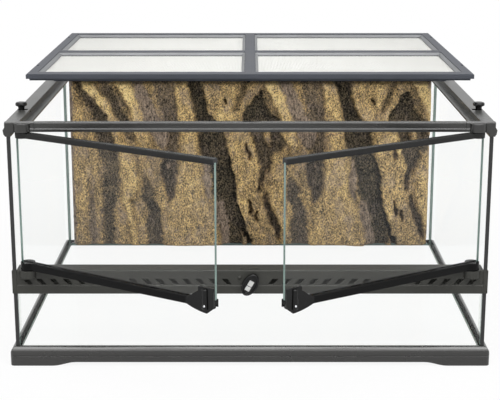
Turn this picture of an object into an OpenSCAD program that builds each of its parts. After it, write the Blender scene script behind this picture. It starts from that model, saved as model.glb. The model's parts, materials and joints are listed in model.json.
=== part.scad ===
// Glass reptile terrarium with two front doors, a lift-off mesh lid and a rock background.
// Millimetres. +X is to the right, +Y to the back, +Z up, and the feet stand at z = 0.

/* [Tank] */
// Width across the outside of the glass
glass_w = 600; // [560:5:700]
// Depth across the outside of the glass
glass_d = 450; // [420:5:520]
// Height from the feet to the top rim
tank_h = 318; // [305:1:380]
// Thickness of every pane
pane_t = 4; // [3:0.5:5]
// Gap between a pane and the channel that holds it
pane_gap = 0.3; // [0.2:0.1:0.5]
// Width of a silicone bead
bead_w = 3; // [2:0.5:3.5]

/* [Base frame] */
// Height of the base frame
base_h = 25; // [23:1:30]
// How far the base frame stands out past the glass
base_flare = 7.5; // [6:0.5:12]
// Thickness of its skirt
base_wall = 3; // [2.5:0.5:4]
// Height of the ledge under the floor pane
ledge_z = 17; // [16:0.5:18]
// Width of that ledge inside the wall panes
ledge_w = 8; // [6:0.5:12]
// Length of the flat foot at each corner
foot_l = 54; // [40:1:80]
// Length of the curve from a foot up to the raised edge
arch_run = 30; // [15:1:50]
// Rise of the bottom edge between the feet
arch_rise = 5; // [4.5:0.5:7]
// Radius of the outer corners
base_corner_r = 5; // [2:0.5:7]

/* [Ventilation strip] */
// Height of its lower edge
strip_z = 96; // [80:1:120]
// Height of the strip
strip_h = 31; // [29:1:34]
// Depth of the shelf on top of it
shelf_d = 20; // [17:1:26]
// Thickness of its walls
strip_t = 2; // [1.6:0.2:2.4]
// How far its lower face stands out in front of the glass
strip_out = 2.6; // [2.4:0.1:3.2]
// How far its upper edge leans back from the lower face
strip_lean = 1.8; // [0.5:0.1:2]
// Length of the cap on each end
end_cap_l = 5; // [3:0.5:6]
// Distance from the middle to the first air slot
slot_start = 23; // [20:1:40]
// Distance from one air slot to the next
slot_pitch = 16.8; // [14:0.2:22]
// Width of an air slot
slot_w = 7.6; // [5:0.2:9]
// Height of an air slot
slot_h = 7.2; // [5:0.2:8]
// How far an air slot leans outward over its height
slot_lean = 5.5; // [0:0.5:7]

/* [Doors] */
// How far the doors stand open, in degrees
door_open = 30; // [0:1:60]
// Distance from the outside of the glass in to a hinge axis
hinge_in = 19; // [17:0.5:26]
// Gap between the two doors when they are closed
door_meet = 3; // [2:0.5:4]
// Running gap above and below a door
door_gap = 0.8; // [0.6:0.1:1.5]
// Height of a door's top rail
top_rail_h = 6.8; // [6.4:0.2:10]
// Height of a door's bottom rail
low_rail_h = 9.4; // [9:0.2:12]
// Depth of a door's rails
rail_d = 9.2; // [8:0.2:10]
// Radius of a hinge knuckle
knuckle_r = 9.2; // [8:0.2:10]
// Radius of a hinge boss on the tank
boss_r = 11; // [10:0.5:12]
// Radius of a hinge pin
pin_r = 2.5; // [2:0.1:2.8]
// Length of a hinge pin inside its boss
pin_reach = 7.6; // [5:0.2:7.8]
// Running clearance round a pin or spindle
run_fit = 0.06; // [0.03:0.01:0.09]
// Clearance of a pin that is fixed in its hole
fixed_fit = 0.02; // [0.01:0.01:0.04]
// Width of the cap on a door's free lower corner
corner_cap_l = 3.5; // [3:0.5:4.5]
// Width of a door handle
handle_w = 38; // [32:1:50]
// Height of a handle above the door's lower edge
handle_up = 25.5; // [20:0.5:30]
// How far a handle's tip hangs below the door's lower edge
handle_drop = 6.4; // [4:0.1:7]
// Thickness of a handle
handle_t = 2.4; // [2:0.1:3]

/* [Lock] */
// Height of the lock above the strip's lower edge
lock_up = 13.5; // [13:0.5:14]
// Length of the oval knob
knob_l = 30; // [24:1:31]
// Width of the oval knob
knob_w = 19; // [15:1:21]
// Thickness of the knob
knob_t = 7; // [5:0.5:9]
// Lean of the knob from upright, in degrees
knob_lean = 30; // [0:1:45]
// Radius of the lock spindle
spindle_r = 4; // [3:0.5:5]
// Reach of the cam's lobe from the spindle's axis
cam_reach = 21; // [20:0.2:21.2]
// Thickness of the cam
cam_t = 3; // [2.5:0.5:3.5]
// Turn of the knob from where it rests to locked, in degrees
lock_turn = 60; // [60:1:75]

/* [Top frame] */
// Height of the top frame's bars
top_h = 12; // [11:0.5:16]
// How far the top frame stands out past the glass
top_out = 2.25; // [2:0.25:4]
// Width of the front rim
front_rim = 8.7; // [8.5:0.1:12]
// Width of the side rims
side_rim = 17.25; // [16.5:0.25:22]
// Width of the rear deck
rear_deck = 45.5; // [44:0.5:60]
// Width of the ledge that the lid lies on
lid_ledge = 8; // [6:0.5:10]
// Length of the skirt that hangs over the glass
top_skirt = 3; // [2:0.5:4]

/* [Lid] */
// Thickness of the lid
lid_t = 8.5; // [8:0.1:9]
// Gap between the lid and the frame round it
lid_gap = 0.7; // [0.5:0.1:1.2]
// How far the lid is drawn up, and as far back, from its seat
lid_raise = 50; // [0:1:50]
// Width of the lid's side bars
lid_side_bar = 12.5; // [12:0.5:18]
// Width of its front bar
lid_front_bar = 19; // [14:0.5:24]
// Width of its back bar
lid_back_bar = 16; // [14:0.5:24]
// Width of the bar that runs from side to side
lid_cross_bar = 15; // [12:0.5:20]
// Width of the bar that runs from front to back
lid_mid_bar = 14; // [12:0.5:20]
// Width of the bead that holds the mesh down
mesh_bead = 4; // [3:0.5:5]
// Thickness of the mesh panels
mesh_t = 1; // [0.8:0.1:1.2]
// Number of openings across a mesh panel
mesh_cols = 12; // [6:1:12]
// Number of openings from front to back
mesh_rows = 8; // [4:1:12]
// Width of the strands between the openings
mesh_strand = 3; // [2:0.5:5]

/* [Lid latches] */
// Distance of the front latches from the front of the glass
latch_front = 80; // [65:1:105]
// Distance of the rear latches from the back of the glass
latch_rear = 95; // [75:1:125]
// Travel of a latch
latch_travel = 4.2; // [3:0.1:4.4]
// Diameter of a latch's button
button_d = 15; // [12:0.5:15]
// Height of a latch's button above the rim
button_h = 10; // [8:0.5:12]

/* [Cable inlets] */
// Distance of each inlet from the middle
inlet_x = 150; // [100:5:180]
// Length of an inlet
inlet_l = 44; // [30:1:50]
// Width of an inlet
inlet_w = 12; // [8:0.5:13]
// Travel of an inlet cover
inlet_travel = 46; // [35:1:52]

/* [Rock background] */
// Thickness of the panel at its deepest grooves
rock_core = 16; // [12:1:30]
// Height of the relief in front of that
rock_relief = 16; // [8:1:24]
// Gap below the top frame
rock_top_gap = 10; // [4:1:30]

/* [Hidden] */
$fn = 48;
LEFT = -1;
RIGHT = 1;
eps = 0.01;
far = 2000;

// Colours
frame_dark = [0.22, 0.21, 0.20];
frame_light = [0.55, 0.55, 0.54];
strip_grey = [0.28, 0.28, 0.27];
rail_black = [0.11, 0.11, 0.10];
lid_grey = [0.32, 0.34, 0.38];
bead_grey = [0.55, 0.56, 0.58];
glass_tint = [0.80, 0.90, 0.88, 0.35];
seal_black = [0.08, 0.08, 0.08];
mesh_pale = [0.90, 0.90, 0.88];
rock_tan = [0.62, 0.50, 0.32];
badge_white = [0.88, 0.88, 0.88];
steel = [0.70, 0.71, 0.72];

// Glass
glass_x = glass_w / 2;
glass_y = glass_d / 2;
pane_in_x = glass_x - pane_t;
pane_in_y = glass_y - pane_t;
channel_floor = ledge_z - 4;
floor_top = ledge_z + pane_t;
groove_deep = 6.5;

// Base frame section
web_t = 3;
roll_z = base_h - 11.5;
roll_steps = 8;
bead_groove = 0.8;

// Ventilation strip
strip_top = strip_z + strip_h;
strip_bend = strip_z + 11;
strip_front = -glass_y - strip_out;
strip_upper = strip_front + strip_lean;
strip_back = -glass_y + shelf_d + 1;
strip_half = pane_in_x - 0.4;
strip_step = 0.6;
strip_nose = 1.8;
hook_z = strip_z + pane_gap + 2;
window_top = strip_z + 2;
slot_z = strip_z + 12;
slot_count = floor((strip_half - slot_start - slot_w - slot_lean) / slot_pitch) + 1;
boss_drop = 10;

// Doors
hinge_x = glass_x - hinge_in;
hinge_y = -glass_y + pane_t / 2;
door_z0 = strip_top + door_gap;
top_z0 = tank_h - top_h;
door_z1 = top_z0 - door_gap;
door_len = hinge_x - door_meet / 2;
cap_start = door_len - corner_cap_l;
low_rail_top = door_z0 + low_rail_h;
top_rail_low = door_z1 - top_rail_h;
rail_grip = 5.4;
glass_z0 = low_rail_top - rail_grip;
glass_z1 = top_rail_low + rail_grip - 3.6;
pane_fit = 0.05;
cap_t = rail_d / 2 + 0.4;
handle_back = cap_t;
handle_front = handle_back + handle_t;
handle_end = hinge_x - 0.8;
handle_tip = handle_end - 9;
rib_r = 2.7;
rib_s = handle_end - 11.5;

// Furthest points front and back with the doors open, for the origin in the middle of the box
cap_out = door_len * sin(door_open) + cap_t * cos(door_open);
handle_out = handle_end * sin(door_open) + handle_front * cos(door_open);
front_reach = -hinge_y + max(cap_out, handle_out);
back_reach = glass_y + base_flare;
tank_y = (front_reach - back_reach) / 2;

// Lock
lock_z = strip_z + lock_up;
knob_back = strip_front - 0.5;
cam_front = hinge_y + 0.1;
cam_hub_r = spindle_r + 3;
lobe_half = 4;
cam_slot_gap = 0.5;
nut_t = 3;
nut_r = spindle_r + 2;

// Top frame
rim_x = glass_x + top_out;
rim_y = glass_y + top_out;
recess_x = rim_x - side_rim;
recess_front = -rim_y + front_rim;
recess_back = rim_y - rear_deck;
seat_z = tank_h - lid_t;
ledge_t = 2.5;
opening_x = recess_x - lid_ledge;
opening_front = recess_front + lid_ledge;
opening_back = recess_back - lid_ledge;
rim_edge = 0.8;
front_lip = 0.6;
lip_h = 3.4;
groove_top = top_z0 + groove_deep;
skirt_low = top_z0 - top_skirt;
leg_drop = 6;
corner_x = hinge_x - boss_r - 4;
corner_y = -glass_y + 20;
rear_y = opening_back - 4;

// Lid
lid_x = recess_x - lid_gap;
lid_front = recess_front + lid_gap;
lid_back = recess_back - lid_gap;
lid_d = lid_back - lid_front;
mesh_z = seat_z + 2.2;
mesh_fit = 0.3;
mesh_border = mesh_bead + 0.5;
win_x0 = lid_mid_bar / 2;
win_x1 = lid_x - lid_side_bar;
cross_y = (lid_front + lid_front_bar + lid_back - lid_back_bar) / 2;
front_win_y0 = lid_front + lid_front_bar;
front_win_y1 = cross_y - lid_cross_bar / 2;
rear_win_y0 = cross_y + lid_cross_bar / 2;
rear_win_y1 = lid_back - lid_back_bar;
rib_drop = 2;
rib_in = 34;

// Latches
front_latch_y = latch_front - glass_y;
rear_latch_y = glass_y - latch_rear;
latch_deep = 3.8;
flange_t = 1.7;
flange_w = 12;
flange_l = 8.2;
neck_w = 8.4;
tooth_w = 7;
latch_fit = 0.2;
track_out = rim_x - 2;
track_in = track_out - flange_l - latch_travel - latch_fit;
latch_x = track_out - latch_fit / 2 - flange_l / 2;
tooth_len = latch_x - flange_l / 2 - recess_x - 0.5;
notch_w = tooth_w + 0.6;
notch_d = 4.6;

// Cable inlets
inlet_y = recess_back + lid_t + (rear_deck - lid_t - top_out - pane_t - 3) / 2;
cover_t = 1.8;
cover_lip = 1.6;
cover_l = inlet_l + 6;
cover_w = inlet_w + 5;
cover_fit = 0.25;

// Rock background
rock_x = pane_in_x - bead_w - 0.6;
rock_back = pane_in_y - bead_w - 0.4;
rock_z0 = floor_top + 0.2;
rock_z1 = top_z0 - rock_top_gap;
rock_nx = 54;
rock_nz = 22;

function curve(a, b, c, n) = [for (i = [0:n]) let (t = i / n)
    (1 - t) * (1 - t) * a + 2 * t * (1 - t) * b + t * t * c];
function oval(l, w, n) = [for (i = [0:n - 1]) [w / 2 * cos(360 * i / n), l / 2 * sin(360 * i / n)]];

// Moves a piece from tank coordinates, with the tank centred, to the part's frame
module in_tank() {
    translate([0, tank_y, 0]) children();
}

// Pieces are drawn on the left, at negative X, and mirrored for the right
module on_side(side) {
    mirror([side == RIGHT ? 1 : 0, 0, 0]) children();
}

// A block given by its lowest and highest corners
module block(a, b) {
    translate(a) cube(b - a);
}

// Extrudes a section drawn in (Y, Z) from x0 to x1
module run_x(x0, x1) {
    translate([x0, 0, 0]) rotate([90, 0, 90]) linear_extrude(x1 - x0) children();
}

// Extrudes a section drawn in (X, Z) from y0 to y1
module run_y(y0, y1) {
    translate([0, y1, 0]) rotate([90, 0, 0]) linear_extrude(y1 - y0) children();
}

module rounded_rect(half_w, half_d, r) {
    square([2 * half_w - 2 * r, 2 * half_d], center = true);
    square([2 * half_w, 2 * half_d - 2 * r], center = true);
    for (x = [-1, 1])
        for (y = [-1, 1])
            translate([x * (half_w - r), y * (half_d - r)]) circle(r);
}

// Four mitred runs of one section, drawn as (outward from the glass, Z)
module mitred_ring() {
    for (turn = [0, 90, 180, 270]) {
        across = turn % 180 == 0 ? glass_x : glass_y;
        out = turn % 180 == 0 ? glass_y : glass_x;
        spread = 60;
        rotate([0, 0, turn]) intersection() {
            translate([0, out, 0]) run_x(-across - spread, across + spread) children();
            linear_extrude(base_h) polygon([[0, out - across],
                [across + spread, out + spread], [-across - spread, out + spread]]);
        }
    }
}

// ---- Tank ----

module base_section() {
    polygon(concat(
        [[base_flare, 0], [base_flare, roll_z - 1],
         [base_flare - bead_groove, roll_z - 0.8], [base_flare - bead_groove, roll_z - 0.2]],
        [for (i = [0:roll_steps]) let (a = 90 * i / roll_steps)
            [pane_gap + (base_flare - pane_gap) * cos(a), roll_z + (base_h - roll_z) * sin(a)]],
        [[pane_gap, channel_floor], [-pane_t - pane_gap, channel_floor],
         [-pane_t - pane_gap, ledge_z], [-pane_t - ledge_w, ledge_z],
         [-pane_t - ledge_w, ledge_z - web_t], [-pane_t, channel_floor - web_t],
         [base_flare - base_wall, channel_floor - web_t], [base_flare - base_wall, 0]]));
}

// The space under the raised edge of one wall
module arch_cut(half_len) {
    flat = half_len + base_flare - foot_l;
    rise = flat - arch_run;
    polygon(concat([[-flat, -1], [-flat, 0]],
        [for (i = [0:6]) let (t = i / 6) [-flat + arch_run * t, arch_rise * (1 - cos(180 * t)) / 2]],
        [for (i = [0:6]) let (t = i / 6) [rise + arch_run * t, arch_rise * (1 + cos(180 * t)) / 2]],
        [[flat, 0], [flat, -1]]));
}

module base_frame() {
    color(frame_dark) in_tank() difference() {
        intersection() {
            mitred_ring() base_section();
            linear_extrude(base_h)
                rounded_rect(glass_x + base_flare, glass_y + base_flare, base_corner_r);
        }
        run_y(-glass_y - base_flare - 1, glass_y + base_flare + 1) arch_cut(glass_x);
        run_x(-glass_x - base_flare - 1, glass_x + base_flare + 1) arch_cut(glass_y);
    }
}

module floor_glass() {
    side_gap = pane_t + pane_gap;
    color(glass_tint) in_tank()
        block([side_gap - glass_x, side_gap - glass_y, ledge_z],
              [glass_x - side_gap, glass_y - side_gap, floor_top]);
}

module window_glass() {
    color(glass_tint) in_tank()
        block([-pane_in_x, -glass_y, channel_floor], [pane_in_x, -pane_in_y, window_top]);
}

module back_glass() {
    color(glass_tint) in_tank()
        block([-pane_in_x, pane_in_y, channel_floor], [pane_in_x, glass_y, groove_top - pane_gap]);
}

module side_glass() {
    color(glass_tint) in_tank()
        block([-glass_x, -glass_y, channel_floor], [-pane_in_x, glass_y, groove_top - pane_gap]);
}

// Black strip along the front edge of a side pane, below and above the ventilation strip
module edge_trim() {
    color(seal_black) in_tank() for (z = [[base_h, strip_z], [strip_top, top_z0 - leg_drop]]) {
        block([-glass_x - 0.4, -glass_y - 1, z[0]], [-pane_in_x + 0.4, -glass_y, z[1]]);
        block([-glass_x - 0.4, -glass_y - 1, z[0]], [-glass_x, -glass_y + 2.5, z[1]]);
    }
}

module bead_section() {
    polygon([[0, 0], [bead_w, 0], [0, bead_w]]);
}

module silicone_seams() {
    color(seal_black) in_tank() {
        for (side = [LEFT, RIGHT]) on_side(side) {
            translate([-pane_in_x, 0, floor_top]) run_y(-pane_in_y, pane_in_y) bead_section();
            translate([-pane_in_x, -pane_in_y, floor_top])
                linear_extrude(strip_z - floor_top - 1) bead_section();
            translate([-pane_in_x, pane_in_y, floor_top]) mirror([0, 1, 0])
                linear_extrude(skirt_low - floor_top - 1) bead_section();
        }
        for (turn = [0, 180]) rotate([0, 0, turn])
            translate([0, -pane_in_y, floor_top]) run_x(-pane_in_x, pane_in_x) bead_section();
    }
}

// The strip's section: front face, shelf, rear wall and the hook over the window pane
module strip_section() {
    polygon([[strip_front, strip_z], [strip_front, strip_bend - 0.5],
        [strip_front + strip_step, strip_bend], [strip_upper, strip_top - strip_nose],
        [strip_upper + 0.5, strip_top - 0.5], [strip_upper + strip_nose, strip_top],
        [strip_back, strip_top], [strip_back, strip_z + 4],
        [strip_back - strip_t, strip_z + 4], [strip_back - strip_t, strip_top - strip_t],
        [strip_upper + strip_t, strip_top - strip_t], [-glass_y - 0.2, strip_bend],
        [-glass_y - 0.2, hook_z + strip_t], [-pane_in_y + 2, hook_z + strip_t],
        [-pane_in_y + 2, strip_z], [-pane_in_y + 0.3, strip_z], [-pane_in_y + 0.3, hook_z],
        [-glass_y - 0.2, hook_z], [-glass_y - 0.2, strip_z]]);
}

module air_slots() {
    for (i = [0:slot_count - 1]) {
        x = slot_start + i * slot_pitch;
        polygon([[x, slot_z], [x + slot_w - 1.5, slot_z], [x + slot_w + slot_lean, slot_z + slot_h],
            [x + slot_lean, slot_z + slot_h]]);
    }
}

module vent_strip() {
    slot_front = cam_front - cam_slot_gap;
    slot_back = cam_front + cam_t + cam_slot_gap;
    slot_top = sqrt(pow(cam_reach, 2) - pow(strip_top - lock_z, 2)) + 0.8;
    slot_low = sqrt(pow(cam_reach, 2) - pow(strip_top - strip_t - lock_z, 2)) + 0.8;
    color(strip_grey) in_tank() difference() {
        union() {
            run_x(-strip_half, strip_half) strip_section();
            for (side = [LEFT, RIGHT]) on_side(side)
                translate([-hinge_x, hinge_y, strip_top - boss_drop]) cylinder(boss_drop, r = boss_r);
            translate([-13, strip_front + 1, lock_z + 7.5]) sphere(2.2);
        }
        for (side = [LEFT, RIGHT]) on_side(side) {
            run_y(strip_front - 1, -glass_y + 3) mirror([1, 0]) air_slots();
            translate([-hinge_x, hinge_y, strip_top - pin_reach - 1])
                cylinder(boss_drop, r = pin_r + run_fit);
        }
        translate([0, strip_front - 1, lock_z]) rotate([-90, 0, 0])
            cylinder(strip_out + strip_t + 2, r = spindle_r + run_fit);
        run_y(slot_front, slot_back) polygon([[-slot_low, strip_top - strip_t - eps],
            [slot_low, strip_top - strip_t - eps], [slot_top, strip_top + eps],
            [-slot_top, strip_top + eps]]);
    }
}

// Cap over the strip's end and the edge of the side pane
module vent_end_cap() {
    color(strip_grey) in_tank() {
        run_x(-strip_half - end_cap_l, -strip_half) polygon([[strip_front, strip_z],
            [strip_front, strip_bend], [strip_upper, strip_top - 0.8], [strip_upper, strip_top],
            [-glass_y - 0.2, strip_top], [-glass_y - 0.2, strip_z]]);
        block([-strip_half - end_cap_l - 1, strip_front + 1, strip_z],
              [-glass_x - 0.2, -glass_y + 7, strip_top - 1]);
    }
}

// ---- Top frame ----

module front_run() {
    polygon([[-rim_y, top_z0], [-rim_y, top_z0 + lip_h], [front_lip - rim_y, top_z0 + lip_h + 0.8],
        [front_lip - rim_y, tank_h - rim_edge], [front_lip + rim_edge - rim_y, tank_h],
        [recess_front - 0.5, tank_h], [recess_front, tank_h - 0.5], [recess_front, seat_z],
        [opening_front, seat_z], [opening_front, seat_z - ledge_t], [opening_front - 2, top_z0]]);
}

module side_run() {
    polygon([[-rim_x, top_z0 + 5.5], [-rim_x, tank_h - rim_edge], [rim_edge - rim_x, tank_h],
        [-recess_x - 0.5, tank_h], [-recess_x, tank_h - 0.5], [-recess_x, seat_z],
        [-opening_x, seat_z], [-opening_x, seat_z - ledge_t], [-recess_x - 3, seat_z - ledge_t],
        [-pane_in_x + 2.8, skirt_low], [-rim_x, skirt_low],
        [-rim_x - 2, top_z0 + 2]]);
}

module rear_run() {
    polygon([[rim_y, skirt_low], [rim_y, tank_h - rim_edge], [rim_y - rim_edge, tank_h],
        [recess_back + lid_t, tank_h], [recess_back, seat_z], [opening_back, seat_z],
        [opening_back, seat_z - ledge_t], [recess_back + 4, seat_z - ledge_t],
        [recess_back + 9, tank_h - 6.5], [pane_in_y - 2.8, tank_h - 6.5],
        [pane_in_y - 2.8, skirt_low]]);
}

// End of a side rail's skirt, which hangs over the front edge of the pane
module corner_leg() {
    polygon([[-rim_x, tank_h - rim_edge], [-rim_x, top_z0 + 5.5], [-rim_x - 2.2, top_z0 + 2],
        [-rim_x - 1.4, top_z0 - 3], [-rim_x + 0.6, top_z0 - leg_drop],
        [-pane_in_x + 1.2, top_z0 - leg_drop], [-pane_in_x + 1.6, top_z0 - 1],
        [-pane_in_x + 5, top_z0 + 1.5], [-pane_in_x + 5, tank_h - rim_edge]]);
}

module latch_track(y) {
    z0 = tank_h - latch_deep;
    block([-track_out, y - flange_w / 2 - latch_fit, z0],
          [-track_in, y + flange_w / 2 + latch_fit, z0 + flange_t + 2 * latch_fit]);
    block([-track_out, y - neck_w / 2 - latch_fit, z0],
          [-track_in, y + neck_w / 2 + latch_fit, tank_h + 1]);
    block([-track_in - 1, y - tooth_w / 2 - latch_fit, z0],
          [-recess_x + 1, y + tooth_w / 2 + latch_fit, z0 + flange_t + 2 * latch_fit]);
}

module inlet_cut() {
    z0 = tank_h - cover_t - cover_lip - 2 * cover_fit;
    block([-inlet_x - inlet_l / 2, inlet_y - inlet_w / 2, skirt_low],
          [-inlet_x + inlet_l / 2, inlet_y + inlet_w / 2, tank_h + 1]);
    block([-inlet_x - cover_l / 2 - cover_fit, inlet_y - cover_w / 2 - cover_fit, z0],
          [-inlet_x + cover_l / 2 + inlet_travel + cover_fit, inlet_y + cover_w / 2 + cover_fit,
           z0 + cover_t + 2 * cover_fit]);
    block([-inlet_x - cover_l / 2 - cover_fit, inlet_y - inlet_w / 2 - cover_fit, z0],
          [-inlet_x + cover_l / 2 + inlet_travel + cover_fit, inlet_y + inlet_w / 2 + cover_fit,
           tank_h + 1]);
}

// Groove over the top edge of a side pane
module side_groove() {
    block([-glass_x - pane_gap, -glass_y - pane_gap, -1],
          [-pane_in_x + pane_gap, glass_y + pane_gap, groove_top]);
}

// The top frame in one piece. Its bar, corners and deck are cut from it and meet face to face
module top_frame() {
    difference() {
        union() {
            run_x(-rim_x, rim_x) front_run();
            run_x(-rim_x, rim_x) rear_run();
            for (side = [LEFT, RIGHT]) on_side(side) {
                run_y(-rim_y + 1, rim_y) side_run();
                run_y(-rim_y, corner_y) corner_leg();
                translate([-hinge_x, hinge_y, top_z0]) cylinder(top_h - 1.5, r = boss_r);
            }
        }
        block([-recess_x, recess_front, seat_z], [recess_x, recess_front + boss_r + 6, tank_h + 1]);
        for (side = [LEFT, RIGHT]) on_side(side) {
            side_groove();
            translate([-hinge_x, hinge_y, top_z0 - 1])
                cylinder(pin_reach + 2, r = pin_r + run_fit);
            inlet_cut();
        }
        block([-glass_x, pane_in_y - pane_gap, -1], [glass_x, glass_y + pane_gap, groove_top]);
    }
}

module top_front_bar() {
    color(frame_dark) in_tank() intersection() {
        top_frame();
        block([-corner_x, -far, 0], [corner_x, corner_y, far]);
    }
}

module top_corner() {
    color(frame_dark) in_tank() intersection() {
        top_frame();
        block([-far, -far, 0], [-corner_x, corner_y, far]);
    }
}

module top_side_rail() {
    color(frame_light) in_tank() difference() {
        run_y(corner_y, rear_y) side_run();
        side_groove();
        latch_track(front_latch_y);
        latch_track(rear_latch_y);
    }
}

module top_rear_deck() {
    color(frame_light) in_tank() intersection() {
        top_frame();
        block([-far, rear_y, 0], [far, far, far]);
    }
}

module inlet_cover() {
    z0 = tank_h - cover_t - cover_lip - cover_fit;
    color(frame_dark) in_tank() {
        block([-inlet_x - cover_l / 2, inlet_y - cover_w / 2, z0],
              [-inlet_x + cover_l / 2, inlet_y + cover_w / 2, z0 + cover_t]);
        block([-inlet_x - cover_l / 2, inlet_y - inlet_w / 2, z0],
              [-inlet_x + cover_l / 2, inlet_y + inlet_w / 2, tank_h]);
        for (i = [-1, 0, 1])
            block([-inlet_x + i * 5 - 1, inlet_y - inlet_w / 2 + 1, tank_h - 1],
                  [-inlet_x + i * 5 + 1, inlet_y + inlet_w / 2 - 1, tank_h + 1]);
    }
}

// ---- Rock background ----

// Height of the relief, 0 to 1, at (x, z): ridges that run down and slant, with broken flanks
function ridge(v) = pow(abs(cos(v)), 0.7);
function rock_height(x, z) =
    let (u = x + 0.45 * (z - 150) + 26 * sin(z * 1.1 + x * 0.35) + 14 * sin(x * 1.3 - 40),
         main = ridge(u * 1.35 + 20),
         step = 0.5 + 0.5 * sin(z * 2.3 + 60 * sin(x * 0.9) + 30),
         grain = 0.5 + 0.5 * sin(x * 5.1 + z * 3.7) * sin(z * 6.3 - x * 2.2))
    0.62 * main + 0.24 * step + 0.14 * grain;

module rock_background() {
    nx = rock_nx;
    nz = rock_nz;
    function px(i) = -rock_x + 2 * rock_x * i / nx;
    function pz(j) = rock_z0 + (rock_z1 - rock_z0) * j / nz;
    function edge(i, j) = min(1, min(min(i, nx - i), min(j, nz - j) + 0.35) / 1.5);
    function front(i, j) = rock_back - 4
        - (rock_core - 4 + rock_relief * rock_height(px(i), pz(j) - rock_z0)) * edge(i, j);
    points = concat(
        [for (j = [0:nz]) for (i = [0:nx]) [px(i), front(i, j), pz(j)]],
        [for (j = [0:nz]) for (i = [0:nx]) if (i == 0 || i == nx || j == 0 || j == nz)
            [px(i), rock_back, pz(j)]],
        [[0, rock_back, (rock_z0 + rock_z1) / 2]]);
    grid = (nx + 1) * (nz + 1);
    function rim(i, j) = grid + (j == 0 ? i : j == nz ? nx + 1 + 2 * (nz - 1) + i
        : nx + 1 + 2 * (j - 1) + (i == 0 ? 0 : 1));
    loop = concat([for (i = [0:nx]) [i, 0]], [for (j = [1:nz]) [nx, j]],
        [for (i = [nx - 1:-1:0]) [i, nz]], [for (j = [nz - 1:-1:1]) [0, j]]);
    count = len(loop);
    function at(k) = loop[k % count];
    function fidx(p) = p[1] * (nx + 1) + p[0];
    faces = concat(
        [for (j = [0:nz - 1]) for (i = [0:nx - 1]) let (a = j * (nx + 1) + i)
            [a, a + nx + 1, a + nx + 2]],
        [for (j = [0:nz - 1]) for (i = [0:nx - 1]) let (a = j * (nx + 1) + i)
            [a, a + nx + 2, a + 1]],
        [for (k = [0:count - 1]) [fidx(at(k)), fidx(at(k + 1)), rim(at(k)[0], at(k)[1])]],
        [for (k = [0:count - 1]) [fidx(at(k + 1)), rim(at(k + 1)[0], at(k + 1)[1]),
            rim(at(k)[0], at(k)[1])]],
        [for (k = [0:count - 1]) [rim(at(k + 1)[0], at(k + 1)[1]), len(points) - 1,
            rim(at(k)[0], at(k)[1])]]);
    color(rock_tan) in_tank() polyhedron(points, faces);
}

// ---- Doors, drawn closed with the left hinge's axis at X = 0, Y = 0 ----

module on_hinge(side) {
    in_tank() on_side(side) translate([-hinge_x, hinge_y, 0]) rotate([0, 0, -door_open]) children();
}

module door_glass(side) {
    color(glass_tint) on_hinge(side) run_y(-pane_t / 2, pane_t / 2) polygon([
        [-knuckle_r, glass_z0], [cap_start, glass_z0], [cap_start, low_rail_top],
        [door_len, low_rail_top], [door_len, glass_z1], [-knuckle_r, glass_z1]]);
}

module rail_slot(z0, z1) {
    block([-knuckle_r - 1, -pane_t / 2 - pane_fit, z0], [door_len + 1, pane_t / 2 + pane_fit, z1]);
}

module door_top_rail(side) {
    color(rail_black) on_hinge(side) difference() {
        union() {
            translate([0, 0, top_rail_low]) cylinder(top_rail_h, r = knuckle_r);
            run_x(0, door_len) polygon([[-rail_d / 2, top_rail_low], [-rail_d / 2, door_z1 - 1],
                [1 - rail_d / 2, door_z1], [rail_d / 2 - 1, door_z1], [rail_d / 2, door_z1 - 1],
                [rail_d / 2, top_rail_low]]);
        }
        rail_slot(top_rail_low - 1, glass_z1 + 0.1);
        translate([0, 0, glass_z1 + 0.5]) cylinder(top_rail_h, r = pin_r + fixed_fit);
    }
}

module door_bottom_rail(side) {
    color(rail_black) on_hinge(side) difference() {
        union() {
            translate([0, 0, door_z0]) cylinder(low_rail_h, r = knuckle_r);
            run_x(0, cap_start) polygon([[-rail_d / 2, door_z0], [-rail_d / 2, low_rail_top - 1],
                [1 - rail_d / 2, low_rail_top], [rail_d / 2 - 1, low_rail_top],
                [rail_d / 2, low_rail_top - 1], [rail_d / 2, door_z0]]);
        }
        rail_slot(glass_z0 - 0.1, low_rail_top + 1);
        translate([0, 0, door_z0 - 1]) cylinder(glass_z0 - door_z0 + 0.5, r = pin_r + fixed_fit);
    }
}

// Cap on the free lower corner, with the pocket that the lock's cam rises into
module door_corner_cap(side) {
    pocket_front = cam_front - hinge_y - cam_slot_gap - 0.2;
    pocket_back = cam_front - hinge_y + cam_t + cam_slot_gap + 0.2;
    pocket_top = lock_z + cam_reach + 1;
    color(rail_black) on_hinge(side) difference() {
        block([cap_start, -cap_t, door_z0], [door_len, cap_t, low_rail_top]);
        block([cap_start - 1, pocket_front, door_z0 - 1], [door_len + 1, pocket_back, pocket_top]);
    }
}

// A wing that sweeps down to a tip below the rail and flares up to a flat shoulder
module handle_outline() {
    left = handle_end - handle_w;
    top = door_z0 + handle_up;
    neck = [left + 18.5, top - 4.3];
    polygon(concat(
        curve([left, door_z0 + 1.5], [left + 14, door_z0 - 5], [handle_tip, door_z0 - handle_drop], 8),
        [[handle_end, door_z0 + 1], [handle_end, top - 0.6]],
        curve([handle_end - 7, top], [neck[0] + 5.7, top], neck + [1.6, 1.2], 6),
        curve(neck, [left + 9.5, top - 11], [left, low_rail_top - 0.6], 6)));
}

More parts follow.
